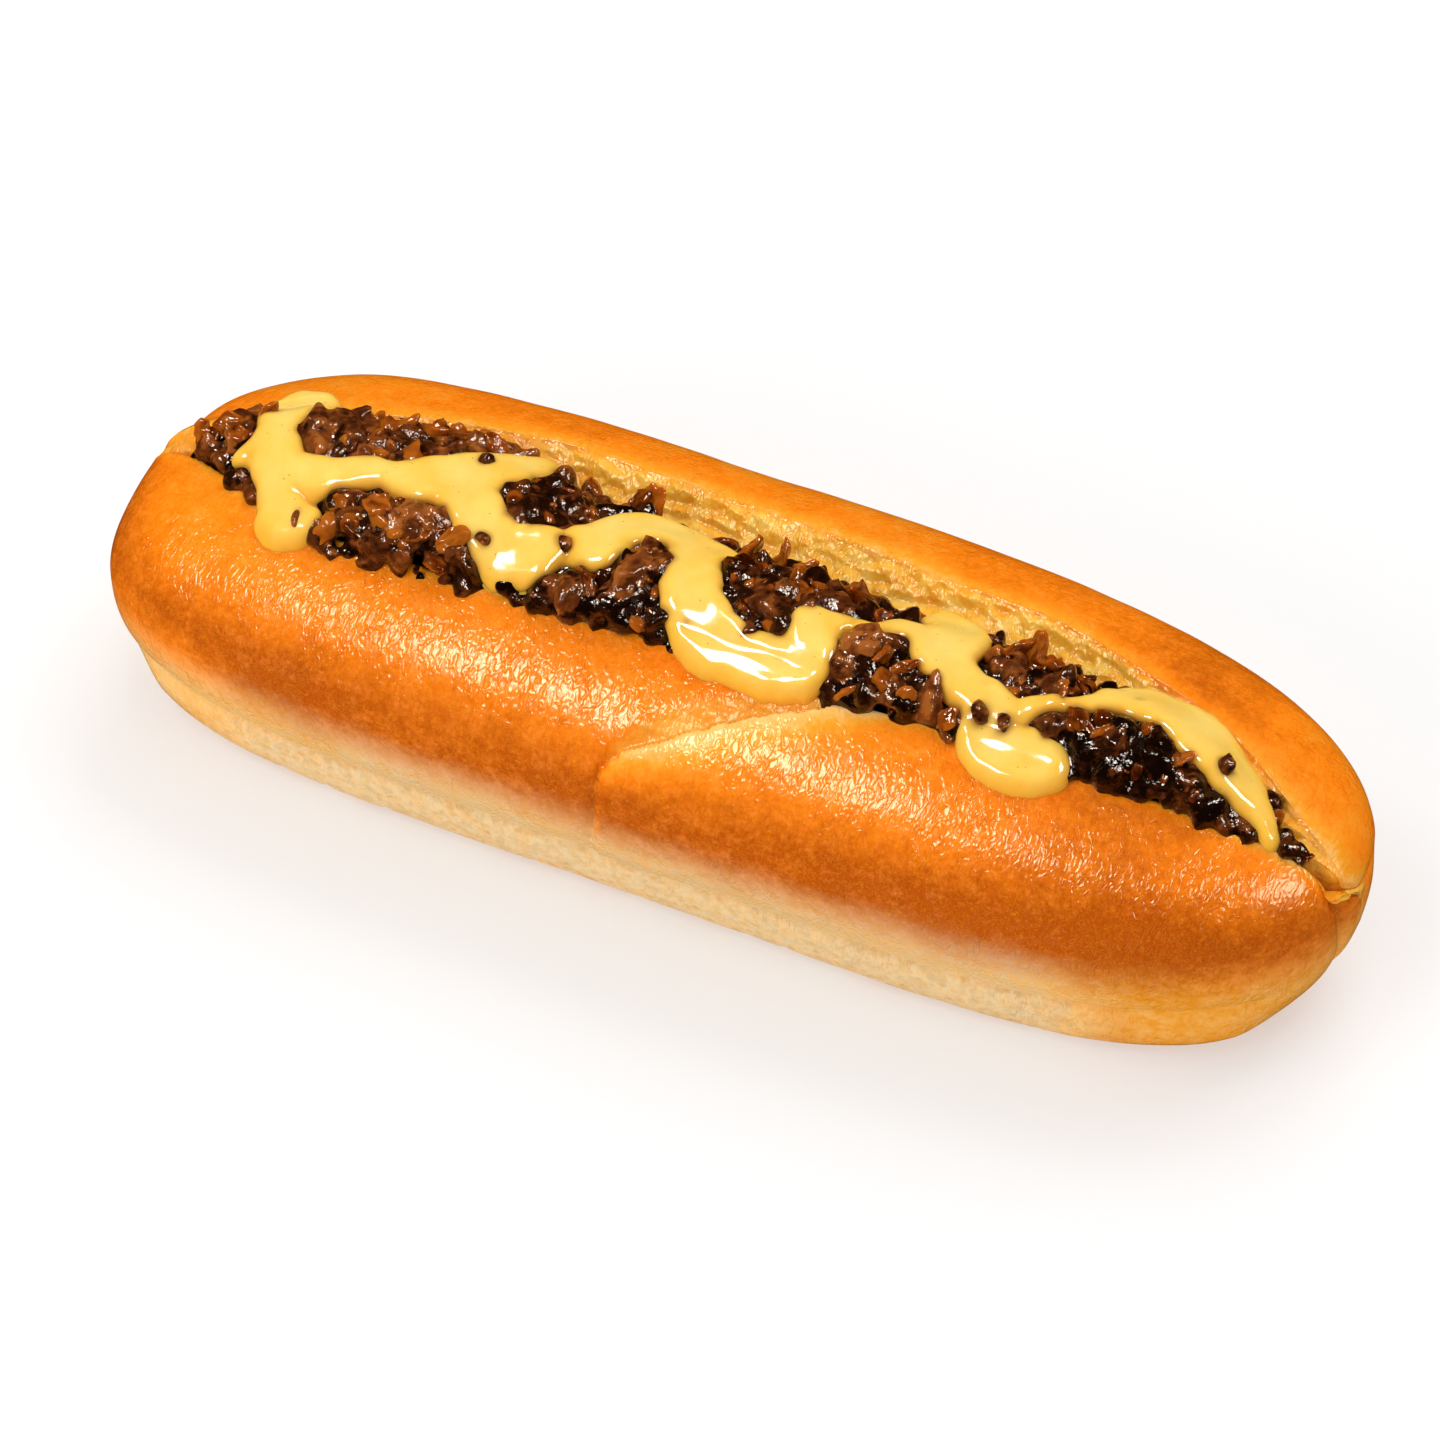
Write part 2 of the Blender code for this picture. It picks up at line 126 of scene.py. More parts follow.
# The heap of filling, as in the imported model.
HEAP_ENDS = (-97.5 * MM, 97 * MM)
HEAP_CROWN = 4 * MM
HEAP_NEAR = (
    (-98, -4.2), (-95, -4.8), (-85, -9.4), (-78, -12.6), (-68, -16.8), (-60, -17.8), (-50, -17.8),
    (-40, -16.8), (-30, -16.4), (-20, -16.2), (-10, -15), (10, -14.8), (22, -15.2), (30, -15),
    (40, -14.2), (55, -13.4), (70, -12.5), (80, -11.7), (90, -10.7), (97, -9.9),
)
HEAP_FAR = (
    (-98, -1.8), (-93, 2.0), (-88, 5), (-83, 8.5), (-78, 10.6), (-74, 11), (-68, 10.6), (-60, 11.4),
    (-53, 14.2), (-46, 14.2), (-40, 13), (-32, 10.4), (-26, 9.4), (-20, 10.5), (-14, 10),
    (-8, 8.6), (9, 8.8), (21, 7), (29, 6.5), (34, 9.5), (38, 9), (42, 7.5), (50, 6.5), (60, 4.8),
    (66, 7.5), (72, 7.5), (80, 3.5), (86, -0.5), (92, -5.5), (97, -7.5),
)
HEAP_EDGE = 1.5 * MM
HEAP_DROP = 2.5 * MM
DROP_ENDS = (-62 * MM, 66 * MM)  # the far half has sunk between these
DROP_FADE = 24 * MM
TALLEST = 52.6 * MM  # tops above this are bent down
SHELF_SLOPE = 0.5  # how steeply the torn crumb falls from the far lip to the filling

# The sauce: strokes of (x, y, half width) in millimetres, one after the other along the roll.
SAUCE_SPREAD = 0.45 * MM  # how much wider it has run since
SAUCE = (
    ((-79.8, 10.2, 3.0), (-82.4, 8.2, 4.4), (-82.8, 4.6, 4.4), (-82.2, 0.6, 3.5),
     (-81.3, -2.6, 3.4), (-79.3, -6, 3.8), (-76.6, -9.5, 3.6), (-75.3, -12.5, 3.4),
     (-73.8, -15, 4), (-71, -16.2, 3.0), (-68.8, -15.2, 2.2)),
    ((-85.6, -6.6, 1.2), (-84.8, -5.4, 0.9), (-83.4, -4.0, 1.6)),
    ((-76, -8, 3.2), (-70, -8, 3.4), (-66, -6, 3), (-60, -4.3, 2.8), (-55.5, -4, 4.2),
     (-51, -2, 5.2), (-47.5, 1, 5.2), (-44, 6, 3.8), (-41, 10.5, 2.6)),
    ((-48, -2, 5.4), (-44, -6, 4.4), (-40.2, -9.3, 4.3), (-36.8, -11.3, 4.4), (-33, -10.8, 4.6),
     (-30.3, -9.2, 3.4)),
    ((-25.8, -4.4, 3), (-22.8, -5.8, 4), (-22.2, -1, 3.8), (-19.3, 2.5, 3.9), (-15.5, 4, 3.6),
     (-11, 3.2, 3.7), (-8, 1, 4)),
    ((-9, 3.2, 3.0), (-5.8, 3.4, 2.4), (-3.8, 2.6, 1.3)),
    ((-9, 1, 3.6), (-6.8, -5, 4.2), (-5, -9.5, 4.4), (-1, -12.8, 4.6), (5, -14.6, 3.8),
     (11, -14.5, 3.7), (16, -13.4, 3.5), (15.4, -9.5, 3.6), (14.2, -6.2, 3.0), (18.5, -4.4, 1.2),
     (23, -3.0, 1.3), (26.6, -1.6, 2.2), (29.5, -1.5, 2.2)),
    ((29.0, 4.8, 1.6), (32.0, 4.8, 3.4), (34.2, 3.6, 4.8), (34.6, 0.4, 5.2), (35.0, -3.6, 4.8),
     (38.4, -6.8, 3.8), (42.5, -8.4, 3.3), (46, -10.2, 3.6), (45.8, -13.6, 4.0),
     (49.0, -15.4, 4.4), (53.5, -15.2, 4.3), (57, -14, 2.8)),
    ((50, -8.2, 1.4), (54, -6.4, 1.0), (58.5, -4.4, 1.2), (62.4, -0.6, 2.8), (66.4, 1.8, 4.3),
     (71.2, 2.0, 5.1), (75.8, 0.2, 5.2), (80.3, -2.6, 4.7), (85, -5.0, 3.4), (88.6, -7.6, 2.0),
     (91.8, -9.6, 1.2)),
    ((76, -3.2, 2.8), (81, -5.2, 2.5), (86, -7.0, 1.9)),
)

# The camera, fitted to the outline of the roll.
CAMERA_PLACE = (0.2628, -0.5806, 0.7228)
CAMERA_RIGHT = (0.908, 0.418, 0.0)
CAMERA_AIM = (-0.280, 0.608, -0.743)
CAMERA_LENS = 149.2


def colour(name, description, default):
    return FloatVectorProperty(
        name=name, description=description, default=default, subtype="COLOR", min=0, max=1
    )


def length(name, description, default):
    return FloatProperty(
        name=name, description=description, default=default, subtype="DISTANCE", unit="LENGTH"
    )


class SandwichSettings(bpy.types.PropertyGroup):
    """Sizes and colours of the sandwich"""

    crust: colour("Crust", "Colour of the well baked crust", (0.90, 0.20, 0.002))
    dark_crust: colour("Dark crust", "Colour of the darkest crust", (0.47, 0.078, 0.001))
    pale_crust: colour("Pale crust", "Colour of the crust above the crease", (1.0, 0.56, 0.18))
    strip: colour("Pale strip", "Colour of the unbrowned side", (0.82, 0.62, 0.35))
    crumb: colour("Crumb", "Colour of the torn inside", (1.0, 0.48, 0.04))
    beef: colour("Beef", "Colour of the browned beef", (0.112, 0.026, 0.005))
    onion: colour("Onion", "Colour of the cooked onion", (0.26, 0.058, 0.004))
    sauce: colour("Sauce", "Colour of the cheese sauce", (0.98, 0.595, 0.115))
    sauce_depth: length("Sauce depth", "Thickness of the sauce over the filling", 2.0 * MM)
    sauce_rim: length("Sauce rim", "Radius of the sauce's rounded edge", 2.2 * MM)
    beef_size: length("Beef size", "Radius of a large piece of beef", 2.6 * MM)
    onion_size: length("Onion size", "Length of an onion sliver", 5.2 * MM)
    seed: IntProperty(name="Seed", description="Changes how the pieces fall", default=11)


# ---- small tools

def smooth(t):
    """0 to 1 with level ends, for numbers and arrays."""
    t = np.clip(t, 0.0, 1.0)
    return t * t * (3 - 2 * t)


def rise(value, start, span):
    """0 up to the start and 1 from a span past it, with level ends. A negative span falls."""
    return smooth((value - start) / span)


def bell(t):
    return np.exp(-t * t)


def eased(x, knots, values):
    """Values at x on a monotone cubic through the knots."""
    knots, values = np.asarray(knots, float), np.asarray(values, float)
    slopes = np.diff(values) / np.diff(knots)
    before, after = np.r_[slopes[0], slopes], np.r_[slopes, slopes[-1]]
    same = before * after > 0
    tangent = np.where(same, 2 * before * after / np.where(same, before + after, 1), 0)
    x = np.clip(x, knots[0], knots[-1])
    i = np.clip(np.searchsorted(knots, x, side="right") - 1, 0, len(knots) - 2)
    step = knots[i + 1] - knots[i]
    t = (x - knots[i]) / step
    return (
        (2 * t**3 - 3 * t**2 + 1) * values[i]
        + (t**3 - 2 * t**2 + t) * step * tangent[i]
        + (3 * t**2 - 2 * t**3) * values[i + 1]
        + (t**3 - t**2) * step * tangent[i + 1]
    )


def profile(table, x):
    """The columns of a table in millimetres at x, which is its first column."""
    columns = (np.array(table) * MM).T
    return [eased(x, columns[0], column) for column in columns[1:]]


def shifted(points, size, seed, stretch):
    """The points in features of this size, moved to another part of the noise by the seed."""
    shift = Vector((seed * 7.31, seed * 3.17, seed * 5.73))
    return [Vector(p) + shift for p in np.asarray(points) / (size * np.array(stretch))]


def field(points, size, seed, octaves=0, stretch=(1, 1, 1)):
    """Smooth noise from -1 to 1 at each point, with features of the given size."""
    places = shifted(points, size, seed, stretch)
    if octaves:
        return np.array([noise.fractal(p, 0.7, 2.0, octaves) for p in places])
    return np.array([noise.noise(p) for p in places])


def cells(points, size, seed, stretch=(1, 1, 1)):
    """Distance to the nearest of scattered centres, in cell sizes."""
    return np.array([noise.voronoi(p)[0][0] for p in shifted(points, size, seed, stretch)])


def waves(points, *rows):
    """Fields added up, each row the strength, size and seed of one."""
    return sum(strength * field(points, size, seed) for strength, size, seed in rows)


def drift(point):
    """Smooth noise at a point as a vector, the same in each run, which noise_vector's isn't."""
    return Vector([noise.noise(point + Vector((0, 0, shift))) for shift in (0.0, 31.7, 67.3)])


def line_distance(points, line):
    """Distance to a line of points, how far along it in segments, and the side in plan."""
    line = np.asarray(line, float)
    best = np.full(len(points), 1e9)
    along, side = np.zeros(len(points)), np.ones(len(points))
    for i, (a, b) in enumerate(zip(line[:-1], line[1:])):
        step = b - a
        t = np.clip((points - a) @ step / (step @ step), 0, 1)
        away = points - a - t[:, None] * step
        far = np.linalg.norm(away, axis=1)
        nearer = far < best
        best = np.where(nearer, far, best)
        along = np.where(nearer, i + t, along)
        side = np.where(nearer, np.sign(step[0] * away[:, 1] - step[1] * away[:, 0]), side)
    return best, along, side


def read_points(mesh):
    flat = np.empty(len(mesh.vertices) * 3)
    mesh.vertices.foreach_get("co", flat)
    return flat.reshape(-1, 3)


def write_points(mesh, points):
    mesh.vertices.foreach_set("co", np.ascontiguousarray(points).ravel())
    mesh.update()


def normals_of(mesh):
    flat = np.empty(len(mesh.vertices) * 3)
    mesh.vertex_normals.foreach_get("vector", flat)
    return flat.reshape(-1, 3)


def mark(mesh, **numbers):
    """Keeps numbers for each vertex under their names, for the materials."""
    for name, values in numbers.items():
        layer = mesh.attributes.new(name, "FLOAT", "POINT")
        layer.data.foreach_set("value", np.ascontiguousarray(values, dtype=np.float32))


def read_tone(mesh):
    tone = np.empty(len(mesh.vertices), dtype=np.float32)
    mesh.attributes["tone"].data.foreach_get("value", tone)
    return tone


def link(name, bm):
    """Makes an object of a bmesh and puts it into the scene."""
    mesh = bpy.data.meshes.new(name)
    bm.to_mesh(mesh)
    bm.free()
    obj = bpy.data.objects.new(name, mesh)
    bpy.context.scene.collection.objects.link(obj)
    return obj


def finish_piece(obj, material, node):
    """Gives a piece its material, smooth shading and body, and hides the part of the model that it
    stands for.
    """
    obj.data.materials.clear()
    obj.data.materials.append(material)
    obj.data.shade_smooth()
    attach(obj, "root")
    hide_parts(node)
    return obj


# ---- form of the roll

def fullness(x, power, root):
    """1 at the middle of the roll, falling to 0 at its tip."""
    u = np.minimum(np.abs(x) / (LENGTH / 2), 1.0)
    return (1 - u**power) ** (1 / root)


def half_width(x):
    """Half the width of the roll."""
    return WIDTH / 2 * np.where(x < 0, fullness(x, *BLUNT_END), fullness(x, *ROUND_END))


def middle(x):
    """y of the roll's bowed middle line."""
    return -BOW * (x / (LENGTH / 2)) ** 2


def crown_height(x):
    """Height of the crust's top line."""
    return WIDEST + (HEIGHT - WIDEST) * fullness(x, *TOP_ROUNDING)


def base_height(x):
    """Height of the underside, which turns up at the tips."""
    return np.maximum(WIDEST * (1 - fullness(x, *BASE_ROUNDING)) - BASE_PLAY, 0.0)


def crust_height(x, y):
    """Height of the crust's upper side over a point of the plan."""
    share = np.minimum(np.abs(y - middle(x)) / np.maximum(half_width(x), MM), 1.0)
    return WIDEST + (crown_height(x) - WIDEST) * (1 - share**SHOULDER) ** (1 / SHOULDER)


def lips(x):
    """y of the near and far lip of the slit."""
    near, far = profile(SLIT, x)
    reach = SLIT_SHARE * half_width(x)
    near = np.maximum(near, middle(x) - reach)
    far = np.minimum(far, middle(x) + reach)
    return near, np.maximum(far, near + np.minimum(MM, 0.5 * reach))


def slit_bottom(x):
    """(y, z) of the floor of the slit."""
    low, high = base_height(x), crown_height(x)
    runout = rise(np.abs(x), SLIT_END, LENGTH / 2 - SLIT_END)
    return sum(lips(x)) / 2, low + (SLIT_FLOOR + (0.9 - SLIT_FLOOR) * runout) * (high - low)


def heap_limits(x):
    """y of the near and far edge of the filling."""
    return profile(HEAP_NEAR, x)[0], profile(HEAP_FAR, x)[0]


def heap_height(x, y):
    """Height of the heap's top, as an even surface."""
    near, far = heap_limits(x)
    t = np.clip((y - near) / (far - near), 0.0, 1.0)
    room = smooth((far - near) / (18 * MM))
    drop = HEAP_DROP * rise(x, DROP_ENDS[0], DROP_FADE) * rise(x, DROP_ENDS[1], -DROP_FADE)
    rim = crust_height(x, (near + far) / 2)
    top = rim + room * (HEAP_EDGE * (1 - t) + HEAP_CROWN * np.sin(np.pi * t)) - drop * t**2
    over = np.clip((lips(x)[0] - y) / (3 * MM), 0, 1)
    return top + over * (np.minimum(top, crust_height(x, y) + 1.2 * MM) - top)


def rest_height(x, y):
    """Height of what the sauce lies on."""
    near, far = heap_limits(x)
    near = np.maximum(near, lips(x)[0])
    inside = smooth((y - near + MM) / (3 * MM)) * smooth((far - y + MM) / (3 * MM))
    return crust_height(x, y) * (1 - inside) + heap_height(x, y) * inside


# ---- the roll

STATIONS = 370
SHELF_SHARE = 0.6
# How each section's ring is shared out, round from the near lip.
NEAR_CRUST, NEAR_SIDE, BASE, FAR_SIDE, FAR_CRUST, FAR_WALL, NEAR_WALL = range(7)
RING = {
    NEAR_CRUST: 72, NEAR_SIDE: 46, BASE: 8, FAR_SIDE: 24, FAR_CRUST: 56, FAR_WALL: 38,
    NEAR_WALL: 20,
}


def stations():
    """x of each section, evenly spaced along the outline in plan."""
    angle = np.pi * (np.arange(8001) + 12) / 8024
    power = np.where(angle < np.pi / 2, BLUNT_END[0], ROUND_END[0])
    x = -np.copysign(LENGTH / 2 * np.abs(np.cos(angle)) ** (2 / power), np.cos(angle))
    travel = np.r_[0, np.cumsum(np.hypot(np.diff(x), np.diff(half_width(x))))]
    return np.interp(np.linspace(0, travel[-1], STATIONS), travel, x)


def arch(x, lip, side, t):
    """(y, z) of the crust at shares t of the way from a lip out to the widest line."""
    wide, rise, centre = half_width(x), crown_height(x) - WIDEST, middle(x)
    share = np.clip(side * (lip - centre) / wide, -0.98, 0.98)
    start = np.arccos(np.copysign(np.abs(share) ** (SHOULDER / 2), share))
    angle = start * (1 - t)
    out = np.copysign(np.abs(np.cos(angle)) ** (2 / SHOULDER), np.cos(angle))
    return centre + side * wide * out, WIDEST + rise * np.abs(np.sin(angle)) ** (2 / SHOULDER)


def side_below(x, side, down):
    """(y, z) at shares of the way down from the widest line to the base."""
    out = eased(down, *zip(*LOWER_SIDE))
    tip = rise(abs(x), TIP_START, LENGTH / 2 - TIP_START)
    rounded = np.maximum(0.3, (1 - down**2.4) ** (1 / 2.4))
    out = out + tip * (rounded - out)
    return middle(x) + side * half_width(x) * out, WIDEST - (WIDEST - base_height(x)) * down


def near_wall(x, lip, t):
    """(y, z) at shares t of the way down the near wall of the slit."""
    floor_y, floor_z = slit_bottom(x)
    top = crust_height(x, lip)
    return lip + (floor_y - lip) * t**1.15, top + (floor_z - top) * t


def far_wall(x, lip, t):
    """(y, z) at shares t of the way in from the far lip, over the torn shelf and down."""
    floor_y, floor_z = slit_bottom(x)
    top = crust_height(x, lip)
    wide = np.clip(lip - heap_limits(x)[1], 0.5 * MM, 0.6 * (lip - lips(x)[0]))
    edge_y, edge_z = lip - wide, max(top - SHELF_SLOPE * wide, floor_z)
    shelf = np.minimum(t / SHELF_SHARE, 1)
    down = np.clip((t - SHELF_SHARE) / (1 - SHELF_SHARE), 0, 1)
    y = lip - wide * shelf + (min(floor_y, edge_y - 0.1 * MM) - edge_y) * down
    sag = 0.12 * wide * np.sin(np.pi * shelf)
    return y, top + (edge_z - top) * shelf - sag + (floor_z - edge_z) * down


def side_shares():
    """Shares of the way down the side, set closer together by the crease."""
    down = np.linspace(0, 1, 400)
    travel = np.cumsum(1 + 3 * bell((down - CREASE) / 0.06))
    return np.interp(np.linspace(travel[0], travel[-1], RING[NEAR_SIDE] + 1), travel, down)[:-1]


def ring_at(x):
    """Rows of (y, z, zone, share of the way along the zone) round the section at x."""
    near, far = lips(x)
    (left, low), (right, _) = (side_below(x, side, np.array([1.0])) for side in (-1, 1))
    zones = {
        NEAR_CRUST: lambda t: arch(x, near, -1, t),
        NEAR_SIDE: lambda t: side_below(x, -1, t),
        BASE: lambda t: (left + (right - left) * t, low + 0 * t),
        FAR_SIDE: lambda t: side_below(x, 1, t),
        FAR_CRUST: lambda t: arch(x, far, 1, t),
        FAR_WALL: lambda t: far_wall(x, far, t),
        NEAR_WALL: lambda t: near_wall(x, near, t),
    }
    parts = []
    for zone, place in zones.items():
        t = side_shares() if zone == NEAR_SIDE else np.linspace(0, 1, RING[zone], endpoint=False)
        if zone in (FAR_SIDE, FAR_CRUST):
            t = 1 - t
        elif zone == NEAR_WALL:
            t = (1 - t) ** 1.4
        parts.append(np.stack([*place(t), zone + 0 * t, t], axis=1))
    return np.concatenate(parts)


def loft_grid(name, xs, rings):
    """A closed skin through a ring of (y, z) at each x, from a grid with its long edges welded."""
    rows, around = rings.shape[:2]
    points = np.empty((rows, around + 1, 3))
    points[..., 0] = xs[:, None]
    points[..., 1:] = np.concatenate([rings, rings[:, :1]], axis=1)
    bm = bmesh.new()
    bmesh.ops.create_grid(bm, x_segments=around, y_segments=rows - 1, size=1.0)
    bm.verts.ensure_lookup_table()
    for vert, place in zip(bm.verts, points.reshape(-1, 3)):
        vert.co = place
    bmesh.ops.remove_doubles(bm, verts=bm.verts, dist=0.001 * MM)
    bmesh.ops.holes_fill(bm, edges=bm.edges, sides=0)
    bmesh.ops.recalc_face_normals(bm, faces=bm.faces)
    return link(name, bm)


def split_relief(p, zone):
    """Lift of the split in the near crust, how torn it is, and the distance past its edge."""
    path = np.array(SPLIT) * MM
    unrolled = np.where(p[:, 2] < WIDEST, -(WIDTH / 2 + WIDEST - p[:, 2]), p[:, 1])
    at = np.stack([p[:, 0], unrolled], axis=1)
    rag = np.stack([field(p, 2.6 * MM, s) + 0.5 * field(p, 1.1 * MM, s) for s in (1, 2)], axis=1)
    away, along, side = line_distance(at + 0.55 * MM * rag, path[:, :2])
    outer = (zone == NEAR_CRUST) | (zone == NEAR_SIDE)
    past = np.where(outer, away * side, 1.0)
    width = np.interp(along, np.arange(len(path)), path[:, 2])
    low = rise(p[:, 2], 10 * MM, 6 * MM)
    upper = rise(p[:, 2], 24 * MM, 14 * MM)
    lobe = rise(past, -0.3 * MM, 1.1 * MM) * (1 - smooth(past / LOBE_REACH))
    ramp = np.clip(1 + past / width, 0, 1) * (past < 0.2 * MM)
    torn = smooth(ramp / 0.35) * rise(width, 0.6 * MM, 0.9 * MM)
    lift = LOBE_RISE * (0.55 + 0.45 * upper) * lobe - (0.5 + 0.7 * upper) * MM * ramp**0.8
    lift -= 0.55 * MM * (1 - upper) * bell(past / (0.7 * MM))
    return np.where(outer, low * lift, 0), np.where(outer, low * torn, 0), past


# Torn bread.
STRAND_LIFT, LUMP_LIFT, PORE_DEPTH = 0.36 * MM, 0.4 * MM, 0.5 * MM


def torn_relief(p):
    """Lift of torn bread: strands, lumps and open cells."""
    strands = 1 - np.abs(field(p, 2.2 * MM, 6, 0, (2.6, 1, 1))) * 2
    lumps = field(p, 3.4 * MM, 7, 3)
    pores = 1 - smooth(cells(p, 2.1 * MM, 5, (1.5, 1, 1)) / 0.55)
    return STRAND_LIFT * strands + LUMP_LIFT * lumps - PORE_DEPTH * pores


# How browned the crust is, from 0 for pale to 1 for dark.
TOP_BROWN, LOW_BROWN, STRIP_BROWN, BASE_BROWN = 0.72, 0.15, 0.04, 0.34
RIGHT_MORE, FLANK_MORE = 0.12, 0.28
LEFT_LESS, TIP_LESS, FAR_LIP_LESS, SPLIT_LESS = 0.26, 0.16, 0.27, 0.46
STRIP_SPILL, STRIP_FADE = 8 * MM, 18 * MM
BROWN_WOBBLE = ((0.05, 12 * MM, 8), (0.03, 3 * MM, 9))
BROWN_PATCHES = ((0.10, 28 * MM, 10), (0.05, 7 * MM, 11))


def browning(p, zone, share, past):
    """How browned the crust is, how browned the low side is, and the fade from one to the other."""
    x, y, z = p.T
    near, far = lips(x)
    near_half = zone < BASE
    side = (zone == NEAR_SIDE) | (zone == FAR_SIDE)
    left = rise(x, STRIP_ENDS[0] + STRIP_SPILL, -STRIP_FADE)
    right = rise(x, STRIP_ENDS[1] - STRIP_SPILL, STRIP_FADE)
    wobble = waves(p, *BROWN_WOBBLE)

    # The crust: browner on the right and down the near flank, paler low on the left and at the tip.
    flank = TOP_BROWN + RIGHT_MORE * rise(x, 20 * MM, 50 * MM) * rise(x, 92 * MM, -20 * MM)
    flank += FLANK_MORE * rise(z, 41 * MM, -10 * MM) * near_half
    flank -= LEFT_LESS * left * rise(z, 34 * MM, -10 * MM)
    flank -= TIP_LESS * rise(x, 66 * MM, 26 * MM) * rise(z, 31 * MM, -9 * MM) * near_half
    baked = np.where(zone == BASE, BASE_BROWN, flank)
    # Both lips, the lobe by the split and the seam below it are paler.
    baked -= np.where(zone >= FAR_CRUST, FAR_LIP_LESS * bell((y - far) / (2.6 * MM)), 0)
    lip = 0.16 * bell((near - y) / (2.0 * MM)) + 0.25 * bell((near - y) / (0.9 * MM)) * (x > 0)
    baked -= np.where(zone == NEAR_CRUST, lip, 0)
    by_split = SPLIT_LESS * bell(past / (4.5 * MM)) * rise(z, 30 * MM, 8 * MM)
    baked -= np.where((past > 0) & (zone == NEAR_CRUST), by_split, 0)
    seam = near_half * rise(z, 32 * MM, -8 * MM) * rise(z, 12 * MM, 4 * MM)
    split = 0.22 * bell((past - 0.8 * MM) / MM) - 0.10 * bell((past + 0.9 * MM) / (0.8 * MM))
    baked -= seam * split

    # The low side, and the strip under the crease.
    low = LOW_BROWN + 0.07 * left + 0.22 * right
    strip = STRIP_BROWN + 0.44 * smooth((share + 0.9 * wobble - 0.90) / 0.06)
    under = rise(share, CREASE, 0.02) * (1 - np.maximum(left, right))
    lower = low + (strip - low) * under * side
    fall = smooth((29.5 * MM - z) / (14 * MM) + 1.6 * wobble)
    outer = side | (zone == NEAR_CRUST) | (zone == FAR_CRUST)
    fade = np.where(outer, fall + (1 - fall) * under * side, 0)
    patches = waves(p, *BROWN_PATCHES) * np.where(zone == FAR_CRUST, 1.5, 1)
    return baked + patches, lower + patches * (1 - under), fade


def toasting(p, zone):
    """How toasted the torn crumb is, from 0 to 1."""
    wall = zone > FAR_CRUST
    left = rise(p[:, 0], -28 * MM, -26 * MM)
    right = rise(p[:, 0], 84 * MM, 10 * MM)
    return np.where(wall, -0.08 + 0.75 * left + 0.15 * right, 0.62) + 0.25 * field(p, 5 * MM, 16)


SOFT_UNEVEN = ((0.35 * MM, 26 * MM, 3), (0.14 * MM, 9 * MM, 4))
# The relief by the crease and in the pale strip.
BULGE_HEIGHT, FOLD_DEPTH, CELL_DEPTH = 0.35 * MM, 0.30 * MM, 0.42 * MM


def make_roll():
    """The baked roll, with its slit, its torn split and how browned each place of it is."""
    xs = stations()
    rings = np.array([ring_at(x) for x in xs])
    obj = loft_grid("roll_baked", xs, rings[..., :2])
    mesh = obj.data
    zone, share = rings[..., 2].ravel(), rings[..., 3].ravel()
    p, n = read_points(mesh), normals_of(mesh)
    x, y, z = p.T

    # The far lobe draws in at the blunt end, and the crust is softly uneven.
    tuck = rise(-x, TUCK_START, TUCK_REACH) * rise(y, lips(x)[1], 6 * MM) * (y > middle(x))
    wall = (zone == FAR_WALL) | (zone == NEAR_WALL)
    lift = -BLUNT_TUCK * tuck + waves(p, *SOFT_UNEVEN) * ~wall
    # The crease above the pale strip, with a second slight fold over it on the left.
    side = (zone == NEAR_SIDE) | (zone == FAR_SIDE)
    shown = 1 - rise(x, STRIP_ENDS[0] + 4 * MM, -20 * MM) - rise(x, STRIP_ENDS[1], 16 * MM)
    line = CREASE + 0.018 * field(p, 18 * MM, 12)
    groove = CREASE_DEPTH * bell((share - line - 0.015) / 0.028)
    bulge = BULGE_HEIGHT * bell((share - line + 0.055) / 0.05)
    fold = FOLD_DEPTH * bell((share - line + 0.075) / 0.018) * rise(x, -4 * MM, -8 * MM)
    lift += np.where(side, shown * (bulge - groove - fold), 0)
    for crease in END_CREASES:
        away = line_distance(p, np.array(crease) * MM)[0]
        lift -= MM * bell(away / (0.8 * MM)) + 0.5 * MM * bell(away / (2.4 * MM))
    split, torn, past = split_relief(p, zone)
    lift += split
    # The torn crumb of the slit and of the split, and the cells of the pale strip.
    depth = np.where(wall, crust_height(x, y) - z, -1.0)
    ragged = 0.5 * MM * (1 + waves(p, (1.0, 2.2 * MM, 13), (0.6, 0.9 * MM, 14)))
    crumb = np.maximum(rise(depth, ragged, 0.5 * MM), torn)
    lift += crumb * torn_relief(p) * np.where(wall, 1.0, 0.6)
    grain = np.where(side, rise(share, CREASE, 0.03) * shown, 0)
    lift -= grain * CELL_DEPTH * (1 - smooth(cells(p, 2.4 * MM, 15, (1.6, 1, 1)) / 0.4))
    write_points(mesh, p + n * (lift * rise(z, -0.02 * MM, 1.5 * MM))[:, None])
    baked, lower, fade = browning(p, zone, share, past)
    toast = toasting(p, zone)
    mark(mesh, bake=baked, low=lower, fade=fade, crumb=crumb, toast=toast, strip=grain)
    return finish_piece(obj, crust_material(), "roll")


# ---- materials

